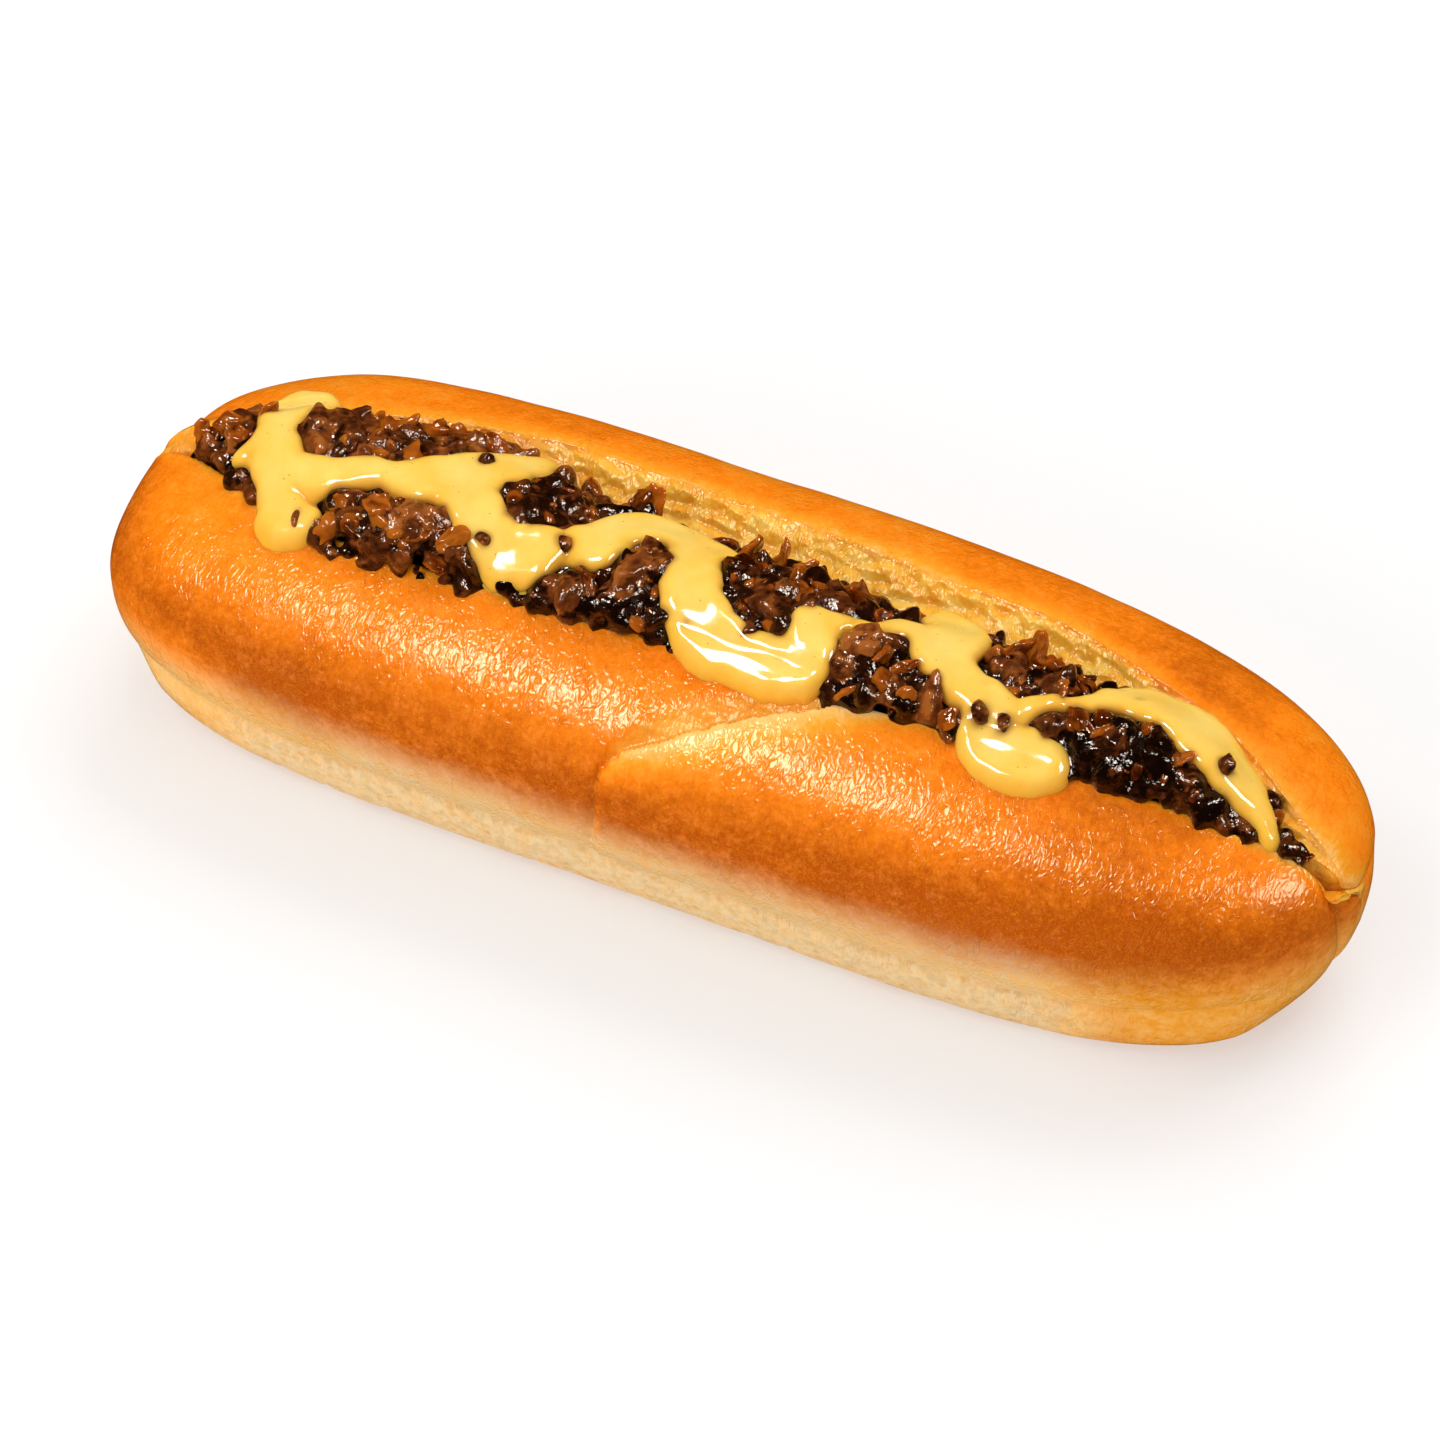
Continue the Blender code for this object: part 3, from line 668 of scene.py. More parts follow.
class Nodes:
    """Adds and joins shader nodes in a few words."""

    def __init__(self, name):
        self.material = bpy.data.materials.new(name)
        self.material.use_nodes = True
        self.tree = self.material.node_tree
        self.shader = self.tree.nodes["Principled BSDF"]
        self.place = self.add("TexCoord", "Object")

    def join(self, value, socket):
        if isinstance(value, bpy.types.NodeSocket):
            self.tree.links.new(value, socket)
        elif socket.type == "RGBA" and len(value) == 3:
            socket.default_value = (*value, 1)
        else:
            socket.default_value = value

    def add(self, kind, output=0, inputs=(), **settings):
        """Adds a node with these settings and inputs, and gives one of its outputs."""
        node = self.tree.nodes.new("ShaderNode" + kind)
        for name, value in settings.items():
            setattr(node, name, value)
        for name, value in dict(inputs).items():
            self.join(value, node.inputs[name])
        return node.outputs[output]

    def attribute(self, name):
        return self.add("Attribute", "Fac", attribute_name=name)

    def noise(self, size, detail=3.0, rough=0.5, distort=0.0, at=None):
        return self.add("TexNoise", inputs={
            "Vector": at or self.place, "Scale": 1 / size, "Detail": detail,
            "Roughness": rough, "Distortion": distort,
        })

    def speckle(self, size, detail, rough, reach):
        """Noise from -reach to reach, to add to something."""
        return self.span(self.noise(size, detail, rough), 0.3, 0.7, -reach, reach)

    def voronoi(self, size, feature="F1", at=None):
        inputs = {"Vector": at or self.place, "Scale": 1 / size}
        return self.add("TexVoronoi", inputs=inputs, feature=feature)

    def stretched(self, x, y, z):
        scale = (1 / x, 1 / y, 1 / z)
        return self.add("Mapping", inputs={"Vector": self.place, "Scale": scale})

    def math(self, operation, a, b=0.0, clamp=False):
        return self.add("Math", inputs={0: a, 1: b}, operation=operation, use_clamp=clamp)

    def times(self, a, b):
        return self.math("MULTIPLY", a, b)

    def plus(self, a, b, clamp=False):
        return self.math("ADD", a, b, clamp)

    def span(self, value, low, high, to_low=0.0, to_high=1.0, soft=False):
        """Maps a range onto another, and holds it at the ends."""
        names = ("Value", "From Min", "From Max", "To Min", "To Max")
        inputs = zip(names, (value, low, high, to_low, to_high))
        kind = "SMOOTHSTEP" if soft else "LINEAR"
        return self.add("MapRange", inputs=inputs, interpolation_type=kind)

    def ramp(self, value, stops):
        colours = self.add("ValToRGB", inputs={"Fac": value})
        elements = colours.node.color_ramp.elements
        while len(elements) < len(stops):
            elements.new(0.5)
        for element, (at, tint) in zip(elements, stops):
            element.position = at
            element.color = (*tint, 1)
        return colours

    def mix(self, share, a, b):
        mixed = self.add("Mix", data_type="RGBA")
        sockets = {s.identifier: s for s in (*mixed.node.inputs, *mixed.node.outputs)}
        for identifier, value in (("Factor_Float", share), ("A_Color", a), ("B_Color", b)):
            self.join(value, sockets[identifier])
        return sockets["Result_Color"]

    def ridges(self, value, middle=0.5):
        """1 where the value crosses its middle, falling off to both sides."""
        away = self.math("ABSOLUTE", self.math("SUBTRACT", value, middle))
        return self.math("SUBTRACT", 1.0, self.times(away, 4.5), True)

    def bump(self, height, depth, strength=1.0, before=None):
        inputs = {"Strength": strength, "Distance": depth, "Height": height}
        if before:
            inputs["Normal"] = before
        return self.add("Bump", inputs=inputs)

    def set(self, **values):
        for name, value in values.items():
            title = name.replace("_", " ").title().replace("Ior", "IOR")
            self.join(value, self.shader.inputs[title])

    def gloss(self, roughness, level, tint=(1.0, 1.0, 1.0)):
        self.set(roughness=roughness, specular_ior_level=level, specular_tint=tint)

    def glow(self, weight, radius):
        """Light that enters the surface and comes out again nearby."""
        self.set(subsurface_weight=weight, subsurface_scale=1.0, subsurface_radius=radius)


def tinted(base, *factors):
    """A colour with each of its channels multiplied."""
    return tuple(min(1.0, c * f) for c, f in zip(base, factors))


WRINKLE_DEPTH = 0.105 * MM


def crust_material():
    """Browned, egg washed crust with a pale strip and a torn inside."""
    look = bpy.context.scene.sandwich
    n = Nodes("Egg washed crust")
    crumb, strip = n.attribute("crumb"), n.attribute("strip")
    spots = n.plus(n.speckle(2.6 * MM, 5, 0.62, 0.07), n.speckle(0.9 * MM, 3, 0.6, 0.05))
    gold = tinted(look.pale_crust, 0.90, 0.60, 0.10)
    browns = (
        (0.0, look.strip), (0.2, look.pale_crust), (0.45, gold), (0.72, look.crust),
        (1.0, look.dark_crust),
    )
    fade = n.plus(n.attribute("fade"), n.times(spots, -0.5), True)
    baked, low = (n.ramp(n.plus(n.attribute(name), spots), browns) for name in ("bake", "low"))
    skin = n.mix(fade, baked, low)
    flecks = n.noise(0.8 * MM, 2, at=n.stretched(1.6, 1, 1))
    skin = n.mix(n.span(flecks, 0.63, 0.74, 0, 0.25), skin, gold)
    # Thin light gold lines over the crust: partly its own flecks, partly painted glints on its fine
    # wrinkles.
    grain = n.span(n.ridges(n.noise(0.8 * MM, 1, distort=1.2)), 0.75, 1.0, 0, 0.2)
    skin = n.mix(grain, skin, tinted(look.crust, 1.25, 2.2, 10))
    # The strip's open pores and stains.
    pores = n.span(n.voronoi(2.2 * MM, at=n.stretched(1.5, 1, 1)), 0.10, 0.28, 0.55, 0)
    skin = n.mix(n.times(pores, strip), skin, (0.72, 0.36, 0.10))
    stains = n.span(n.noise(1.7 * MM, 4, 0.65), 0.42, 0.66, 0, 0.55)
    skin = n.mix(n.times(stains, strip), skin, (0.62, 0.38, 0.15))
    # The torn inside, from deep to pale, and toasted in places.
    inside = n.ramp(n.noise(3.0 * MM, 4, 0.6), (
        (0.34, tinted(look.crumb, 0.95, 0.74, 0.40)), (0.5, look.crumb),
        (0.66, tinted(look.crumb, 1.0, 1.22, 2.6)),
    ))
    inside = n.mix(n.attribute("toast"), inside, tinted(look.crumb, 0.74, 0.45, 0.35))
    n.set(base_color=n.mix(crumb, skin, inside))
    # Wrinkles of the crust, worn away in places, and the cells of the crumb and the strip.
    lines = n.ridges(n.noise(1.05 * MM, 0.4, distort=0.8, at=n.stretched(0.9, 1.7, 1.7)))
    worn = n.span(n.noise(7.0 * MM, 2), 0.38, 0.62, 0.42, 1.0, True)
    wrinkles = n.bump(n.times(lines, worn), WRINKLE_DEPTH)
    rough = n.math("MAXIMUM", crumb, n.times(strip, 0.5))
    cell = n.times(n.voronoi(1.1 * MM, "SMOOTH_F1"), rough)
    n.set(normal=n.bump(cell, 0.5 * MM, 0.5, wrinkles))
    dull = n.plus(n.times(crumb, 0.08), n.times(strip, 0.5))
    n.gloss(n.plus(0.19, dull), 0.28, (1.0, 0.84, 0.60))
    n.glow(0.16, (3.0 * MM, 1.0 * MM, 0.3 * MM))
    return n.material


def filling_look(name, base, size, reach, *shades):
    """Nodes with the colour of a piece by its tone; each shade is a tone and its factors."""
    n = Nodes(name)
    tone = n.plus(n.attribute("tone"), n.speckle(size, 3, 0.55, reach))
    stops = [(at, tinted(base, *factors)) for at, *factors in shades]
    n.set(base_color=n.ramp(tone, stops))
    return n


def beef_material():
    n = filling_look(
        "Browned beef", bpy.context.scene.sandwich.beef, 1.4 * MM, 0.14,
        (0.0, 0.05, 0.07, 0.15), (0.3, 0.22, 0.22, 0.3), (0.6, 1, 1, 1), (0.8, 1.9, 2.1, 1.8),
        (1.0, 3.0, 3.8, 3.2),
    )
    beads = n.math("SUBTRACT", 1.0, n.voronoi(1.6 * MM, "SMOOTH_F1"))
    beaded = n.bump(beads, 0.30 * MM, 0.5)
    n.set(normal=n.bump(n.noise(0.9 * MM, 1.5, distort=1.4), 0.16 * MM, 0.8, beaded))
    n.gloss(0.09, 0.5, (1.0, 0.86, 0.74))
    n.glow(0.2, (1.6 * MM, 0.5 * MM, 0.2 * MM))
    return n.material


def onion_material():
    n = filling_look(
        "Caramelised onion", bpy.context.scene.sandwich.onion, 1.8 * MM, 0.16,
        (0.0, 0.10, 0.07, 0.1), (0.35, 0.42, 0.30, 0.25), (0.65, 1, 1, 1), (1.0, 1.5, 1.8, 1.8),
    )
    n.set(normal=n.bump(n.noise(1.2 * MM, 1.5, distort=1.2), 0.22 * MM, 0.8))
    n.gloss(0.08, 0.5, (1.0, 0.88, 0.76))
    n.glow(0.6, (2.4 * MM, 0.8 * MM, 0.15 * MM))
    return n.material


def sauce_material():
    """Glossy cheese sauce, a warmer, darker gold at its rim as painted shade, and darker where it
    is thin.
    """
    look = bpy.context.scene.sandwich
    n = Nodes("Cheese sauce")
    cloud = n.span(n.noise(6 * MM, 3, 0.5), 0.3, 0.7)
    tint = n.mix(cloud, tinted(look.sauce, 1.0, 0.90, 0.70), tinted(look.sauce, 1.03, 1.07, 1.35))
    speck = n.math("LESS_THAN", n.voronoi(1.8 * MM), 0.085)
    some = n.math("GREATER_THAN", n.noise(4 * MM, 2), 0.5)
    specks = n.times(n.times(speck, some), 0.6)
    tint = n.mix(specks, tint, (0.40, 0.15, 0.012))
    # A warmer, darker gold towards the rounded edge: painted shade of the sauce's curved rim.
    rim = n.span(n.attribute("rim"), 0, 1, 0, 0.85)
    tint = n.mix(rim, tint, tinted(look.sauce, 0.97, 0.72, 0.28))
    tint = n.mix(n.attribute("thin"), tint, (0.22, 0.10, 0.02))
    n.set(base_color=tint)
    n.set(normal=n.bump(n.noise(3.0 * MM, 2), 0.2 * MM, 0.2))
    n.gloss(0.11, 0.45)
    n.glow(0.55, (5.0 * MM, 2.6 * MM, 0.5 * MM))
    return n.material


# ---- the filling

# Pieces that stand out: (x, y, rise, length, turn, tip, roll, tone), the angles in degrees.
ONION_FEATURES = (
    (-95.2, -1.2, 1.6, 5.0, 80, 75, 0, 0.9), (-85.0, 2.6, 1.6, 4.6, 55, 48, 60, 0.85),
    (-90.5, -0.5, 1.2, 5.5, 20, 10, 30, 0.75), (-87.6, -3.6, 0.9, 5, -35, 10, 10, 0.6),
    (-63.5, 7.5, 2.0, 7, 20, 30, -30, 0.95), (-58.5, 8.5, 1.4, 6, -20, 25, -30, 0.8),
    (-20.6, 10.2, 3.0, 7.5, 75, 70, 0, 0.95), (-22.6, 9.5, 2.4, 6, 40, 50, 0, 0.45),
    (-2.5, 7.5, 1.6, 7, 35, 45, -40, 0.9), (2.5, 8, 1.6, 7, 60, 50, -30, 0.95),
    (6.5, 7.5, 1.4, 6, -10, 40, -50, 0.85), (15, 6.5, 1.0, 5, 30, 20, -30, 0.7),
    (47.2, 4.6, 2.8, 7.5, 80, 65, 0, 0.95), (44.0, 4.0, 2.0, 7, 15, 35, -40, 0.75),
    (50, 2.5, 1.8, 6, -25, 30, -20, 0.6), (25.5, 6.5, 0.5, 5, 0, 10, 0, 0.8),
    (-44, -13.2, 1.6, 6.5, 30, 35, 30, 0.95), (-58, -11.5, 1.4, 6, -15, 15, 20, 0.75),
    (31, -9, 1.0, 5, 20, 25, 0, 0.6), (76, -7, 1.2, 4.5, 20, 40, 0, 0.85),
    (54, -4.5, 1.2, 5, 60, 30, 0, 0.8),
)
# (x, y, rise, radius, tone)
BEEF_FEATURES = (
    (-15.8, -8.5, 1.5, 4.4, 0.75), (-13.4, -4.2, 2.2, 3.4, 0.62), (-17, -11, 0.6, 3.4, 0.62),
    (-52.5, -10.8, 1.6, 3.4, 0.90), (-57, -11.5, 1.4, 3.0, 0.66), (-48, -10.6, 1.4, 3.0, 0.80),
    (-61.0, 6.5, 2.0, 3.0, 0.62), (-76, 3.5, 2.0, 3.2, 0.60), (-71, 3, 1.8, 3.0, 0.55),
    (22.3, -7.6, 2.6, 4.0, 0.85), (21.3, -11, 1.4, 3.0, 0.72), (-36.1, 2.7, 1.6, 2.6, 0.25),
    (-31, 0.7, 1.6, 2.8, 0.35), (12.1, -3.4, 1.6, 2.6, 0.55), (-24, -12, 0.4, 2.4, 0.1),
    (60, -9.6, 0.8, 2.8, 0.02), (64.6, -8.4, 1.6, 2.8, 0.40), (71, -7.2, 2.2, 3.2, -0.1),
    (77.2, -9.5, 0.6, 2.4, 0.4), (94, -9, 0.4, 1.8, 0.35), (44.4, -11.8, 2.5, 2.1, 0.55),
    (48.4, -12.0, 2.6, 1.6, 0.6), (82, -5.4, 2.8, 2.2, 0.45), (-52.2, 5.0, 2.4, 2.2, 0.45),
    (-47.3, 4.6, 2.4, 2.0, 0.5), (-28.2, -7.8, 1.6, 2.0, 0.40), (-39.6, -11.4, 2.5, 2.0, 0.55),
)
# (x, how brown rather than black the filling is there)
TONES = (
    (-100, 0.50), (-85, 0.48), (-70, 0.50), (-55, 0.52), (-40, 0.35), (-30, 0.45), (-22, 0.15),
    (-8, 0.30), (5, 0.35), (15, 0.5), (28, 0.25), (45, 0.55), (55, 0.35), (62, 0.10),
    (75, 0.15), (88, 0.3), (97, 0.3),
)


def tone_at(x):
    """How brown the filling is at x."""
    return float(np.interp(x / MM, *zip(*TONES)))


def sauce_over(x, y):
    """How far inside the sauce's outline a place is, negative outside."""
    away = np.hypot(STROKE_POINTS[:, 0] - x, STROKE_POINTS[:, 1] - y)
    return float(np.max(STROKE_POINTS[:, 2] - away))


PRESSED = 2.3 * MM  # how far the sauce pushes pieces down
CORE_COVER = 1.1 * MM  # how far the core lies under the top of the heap
BEEF_GRAIN = 0.56 * MM  # size of the cells in which the lumps of beef are merged


def scatter(draw, spacing, sink, sizes, covered=True):
    """Places over the heap, spread evenly and pressed down under the sauce, or left out there."""
    start, end = HEAP_ENDS
    places = []
    for column in range(int((end - start) / spacing) + 1):
        x = start + spacing * (column + 0.5)
        near, far = (float(v) for v in heap_limits(x))
        rows = max(1, round((far - near) / spacing))
        for row in range(rows):
            size = draw.uniform(*sizes) * (0.6 + 0.4 * float(smooth((far - near) / (14 * MM))))
            inset = min(0.35 * size, 0.3 * (far - near))
            share = (row + 0.5 + 0.25 * (-1) ** column + draw.uniform(-0.45, 0.45)) / rows
            y = near + inset + (far - near - 2 * inset) * min(max(share, 0.0), 1.0)
            along = min(x + draw.uniform(-0.45, 0.45) * spacing, end)
            under = sauce_over(along, y)
            pressed = PRESSED * float(rise(under, -MM, 2 * MM))
            height = float(heap_height(along, y)) - sink * size - pressed
            height += draw.uniform(-0.35, 0.35) * size
            if covered or under < -0.3 * size:
                places.append((Vector((along, y, height)), size))
    return places


def stroke_points(stroke, step):
    """(x, y, half width) along a stroke, on a smooth curve through its points."""
    knots = [Vector(p) * MM for p in stroke]
    knots = [knots[0] * 2 - knots[1], *knots, knots[-1] * 2 - knots[-2]]
    points = []
    for a, b, c, d in zip(knots, knots[1:], knots[2:], knots[3:]):
        steps = max(2, math.ceil((c - b).length / step))
        for i in range(steps):
            t = i / steps
            cubic = (2 * a - 5 * b + 4 * c - d) * t**2 + (3 * b - a - 3 * c + d) * t**3
            points.append(0.5 * (2 * b + (c - a) * t + cubic))
    points.append(knots[-2])
    return [(p.x, p.y, p.z) for p in points]


STROKE_POINTS = np.array([p for stroke in SAUCE for p in stroke_points(stroke, 0.7 * MM)])
STROKE_POINTS[:, 2] += SAUCE_SPREAD


def ball(bm, draw, detail):
    """The points of a new ball, where they keep their tone, and a random place in the noise."""
    made = bmesh.ops.create_icosphere(bm, subdivisions=detail, radius=1.0)["verts"]
    seed = Vector([draw.uniform(-50, 50) for _ in range(3)])
    return made, bm.verts.layers.float["tone"], seed


def lump(bm, draw, place, size, detail, tone, crease=1.0):
    """A rounded, puffed piece, with creases between its folds."""
    made, layer, seed = ball(bm, draw, detail)
    for vert in made:
        q = vert.co.normalized()
        warped = q + 0.28 * drift(q * 1.2 + seed)
        fold = noise.noise(warped * 1.1 + seed)
        reach = 0.78 + 0.75 * (crease * abs(fold) + (1 - crease) * (0.35 + 0.6 * fold))
        reach += 0.28 * crease * abs(noise.noise(warped * 2.6 - seed))
        vert.co = warped * reach
        # Lighter where the folds stand out and darker in the creases between them: painted shade.
        vert[layer] = tone + 1.5 * (reach - 1.0)
    turn = Euler([draw.uniform(0, math.tau) for _ in range(3)]).to_matrix().to_4x4()
    long, flat = draw.uniform(1.0, 1.6), draw.uniform(0.6, 0.95)
    stretch = Matrix.Diagonal((size * long, size, size * flat, 1))
    bmesh.ops.transform(bm, matrix=Matrix.Translation(place) @ turn @ stretch, verts=made)


def petal(bm, draw, place, size, turn, tone, detail=3):
    """A curled, fleshy piece of onion layer with rounded, wavy edges. Size is its length."""
    made, layer, seed = ball(bm, draw, detail)
    wide = draw.uniform(0.42, 0.7) * size
    thick = draw.uniform(0.2, 0.3) * size
    curl = draw.uniform(1.4, 3.0) / wide
    bend = draw.uniform(0.3, 1.4) / size
    for vert in made:
        x, y, z = vert.co
        x *= 1 + 0.30 * noise.noise(Vector((y * 1.8, z, 0)) + seed)
        y *= 1 + 0.40 * noise.noise(Vector((x * 1.8, z, 5)) + seed)
        u, v = x * size / 2, y * wide / 2
        w = math.copysign(abs(z) ** 0.8, z) * thick / 2
        w += 0.10 * size * noise.noise(Vector((x * 1.4, y * 1.4, 0)) - seed)
        across = (1 / curl - w) * math.sin(v * curl)
        raised = 1 / curl - (1 / curl - w) * math.cos(v * curl)
        along = (1 / bend - raised) * math.sin(u * bend)
        vert.co = (along, across, 1 / bend - (1 / bend - raised) * math.cos(u * bend))
        vert[layer] = tone + 0.5 * noise.noise(Vector((x * 1.3, y * 1.3, z)) + seed)
    matrix = Matrix.Translation(place) @ turn.to_matrix().to_4x4()
    bmesh.ops.transform(bm, matrix=matrix, verts=made)


def new_heap():
    """An empty bmesh whose points each keep a tone."""
    bm = bmesh.new()
    bm.verts.layers.float.new("tone")
    return bm


def merge(obj, grain, rounding):
    """Makes one rounded skin round all the pieces of an object, and keeps their tones."""
    old = obj.data
    places, tone = read_points(old), read_tone(old)
    tree = KDTree(len(places))
    for index, place in enumerate(places):
        tree.insert(place, index)
    tree.balance()
    skin = obj.modifiers.new("One skin", "REMESH")
    skin.mode = "VOXEL"
    skin.voxel_size = grain
    soft = obj.modifiers.new("Rounded", "SMOOTH")
    soft.factor, soft.iterations = 0.5, rounding
    graph = bpy.context.evaluated_depsgraph_get()
    obj.data = bpy.data.meshes.new_from_object(obj.evaluated_get(graph))
    obj.modifiers.clear()
    bpy.data.meshes.remove(old)
    found = [tree.find(place)[1] for place in read_points(obj.data)]
    mark(obj.data, tone=tone[found])
    return obj


# Deep in the heap the filling is darker: partly the dark glaze, partly painted shade in its
# hollows.
DEEP, DEEP_DARKER = 2.2 * MM, 0.36  # what lies this deep is this much darker


def finish_filling(obj, material):
    """Darkens what lies deep in the heap, as dark glaze and painted shade, keeps the tops down and
    finishes the piece.
    """
    mesh = obj.data
    p = read_points(mesh)
    x, y, z = p.T
    # Darker the deeper it lies below the heap's top: partly the dark glaze, partly painted shade in
    # the hollows.
    deep = smooth((heap_height(np.clip(x, *HEAP_ENDS), y) - z) / DEEP)
    tone = (read_tone(mesh) - DEEP_DARKER * deep).astype(np.float32)
    mesh.attributes["tone"].data.foreach_set("value", tone)
    p[:, 2] = np.where(z > TALLEST, TALLEST + 0.4 * (z - TALLEST), z)
    write_points(mesh, p)
    return finish_piece(obj, material, "beef_and_onion_filling")


def make_core():
    """The dark body of the filling under its pieces, as a mesh."""
    xs = np.linspace(*HEAP_ENDS, 320)
    down = np.linspace(0, 1, 10)[1:, None]
    rings = []
    for x in xs:
        near, far = heap_limits(x)
        near = max(near, lips(x)[0])
        inset = min(0.7 * MM, 0.3 * (far - near))
        y = np.linspace(near + 0.2 * inset, far - inset, 64)
        floor_y, floor_z = slit_bottom(x)
        foot = np.array([[floor_y, floor_z + 2 * MM]])
        upper = np.stack([y, heap_height(x, y) - CORE_COVER], 1)
        right = upper[-1:] + (foot - upper[-1:]) * down
        left = upper[:1] + (foot - upper[:1]) * down
        rings.append(np.concatenate([upper, right, left[-2::-1]]))
    obj = loft_grid("filling_core", xs, np.array(rings))
    mesh = obj.data
    p, n = read_points(mesh), normals_of(mesh)
    upper = rise(p[:, 2], 28 * MM, 6 * MM)
    cell = cells(p, 2.4 * MM, 21)
    lift = 1.5 * MM * (0.5 - cell) + 0.3 * MM * field(p, 1.2 * MM, 22)
    write_points(mesh, p + n * (lift * upper)[:, None])
    # Tone differs at random, and is lighter on the raised cells and darker in the hollows between
    # them: painted shade.
    mark(mesh, tone=0.16 + 0.2 * field(p, 6 * MM, 23) + 0.35 * (0.5 - cell))
    bpy.data.objects.remove(obj)
    return mesh


def strew(bm, draw, spacing, sink, sizes, detail, tone, spread, crease=1.0, covered=True):
    """Lumps all over the heap. Spacing and sizes are shares of a large piece of beef."""
    size = bpy.context.scene.sandwich.beef_size
    sizes = [share * size for share in sizes]
    for place, radius in scatter(draw, spacing * size, sink, sizes, covered):
        shade = tone_at(place.x) + draw.gauss(tone, spread)
        lump(bm, draw, place, radius, detail, shade, crease)


def on_heap(x, y, up):
    """The place this far over the heap, from millimetres."""
    return Vector((x * MM, y * MM, float(heap_height(x * MM, y * MM)) + up * MM))


def make_filling():
    """The heap of beef and onion: its core with the beef on it, then the loose small pieces."""
    look = bpy.context.scene.sandwich
    beef, onion = beef_material(), onion_material()
    size, long = look.beef_size, look.onion_size
    draw = random.Random(look.seed)
    bm = new_heap()
    bm.from_mesh(make_core())
    strew(bm, draw, 1.5, 0.7, (0.8, 1.15), 2, -0.1, 0.15)
    strew(bm, draw, 1.6, 0.15, (0.55, 1.0), 3, 0.0, 0.2, 0.55)
    # A row of small lumps along the near lip, except under the sauce.
    for x in np.arange(HEAP_ENDS[0] + 4 * MM, HEAP_ENDS[1], 0.9 * size):
        radius = draw.uniform(0.25, 0.7) * size
        x += draw.uniform(-0.4, 0.4) * size
        y = float(heap_limits(x)[0]) + draw.uniform(-0.1, 0.9) * radius
        place = Vector((x, y, float(crust_height(x, y)) + draw.uniform(-0.2, 0.3) * radius))
        if sauce_over(x, y) < 0:
            lump(bm, draw, place, radius, 3, tone_at(x) + draw.gauss(-0.05, 0.2), 0.5)
    for x, y, up, radius, tone in BEEF_FEATURES:
        lump(bm, draw, on_heap(x, y, up - 0.5 * radius), 0.8 * radius * MM, 3, tone)
    finish_filling(merge(link("beef_mass", bm), BEEF_GRAIN, 2), beef)
    bm = new_heap()
    strew(bm, draw, 1.9, -0.2, (0.22, 0.42), 2, 0.0, 0.25, covered=False)
    finish_filling(link("beef_small", bm), beef)
    bm = new_heap()
    strew(bm, draw, 1.7, 0.1, (0.4, 0.8), 3, 0.15, 0.25, 0.3, False)
    finish_filling(link("onion_pieces", bm), onion)
    bm = new_heap()
    for place, span in scatter(draw, 0.9 * long, 0.05, (0.6 * long, 1.1 * long), False):
        turn = Euler([draw.uniform(*ends) for ends in ((-1.1, 1.1), (-0.8, 0.8), (0, math.tau))])
        petal(bm, draw, place, span, turn, draw.uniform(0.2, 0.75))
    for x, y, up, span, turned, tip, rolled, tone in ONION_FEATURES:
        turn = Matrix.Identity(3)
        for angle, axis in ((turned, "Z"), (-tip, "Y"), (rolled, "X")):
            turn = turn @ Matrix.Rotation(math.radians(angle), 3, axis)
        petal(bm, draw, on_heap(x, y, up), span * MM, turn.to_euler(), tone, 4)
    finish_filling(link("onion_slivers", bm), onion)


# ---- the sauce

SAUCE_STEP = 0.33 * MM
SAUCE_FIELD = ((-97 * MM, 97 * MM), (-27 * MM, 20 * MM))
SAUCE_TOP = 53.8 * MM


def blurred(grid, reach):
    """The grid averaged over about this many cells."""
    taps = np.arange(-int(2.5 * reach) - 1, int(2.5 * reach) + 2)
    weights = bell(taps / (1.414 * reach))
    weights /= weights.sum()
    for axis in (0, 1):
        pad = [(0, 0), (0, 0)]
        pad[axis] = (-taps[0], taps[-1])
        wide = np.pad(grid, pad, mode="edge")
        long = grid.shape[axis]
        parts = (np.take(wide, range(i, i + long), axis=axis) for i in range(len(taps)))
        grid = sum(w * part for w, part in zip(weights, parts))
    return grid


def ground_under(x, y, wanted, names):
    """Height of the highest of the named pieces under each wanted point of the plan."""
    graph = bpy.context.evaluated_depsgraph_get()
    trees = [BVHTree.FromObject(bpy.data.objects[name], graph) for name in names]
    found = np.full(x.shape, -1.0)
    down = Vector((0, 0, -1))
    for i, j in zip(*np.nonzero(wanted)):
        start = Vector((x[i, j], y[i, j], 0.1))
        for tree in trees:
            place = tree.ray_cast(start, down)[0]
            if place is not None and place.z > found[i, j]:
                found[i, j] = place.z
    return found


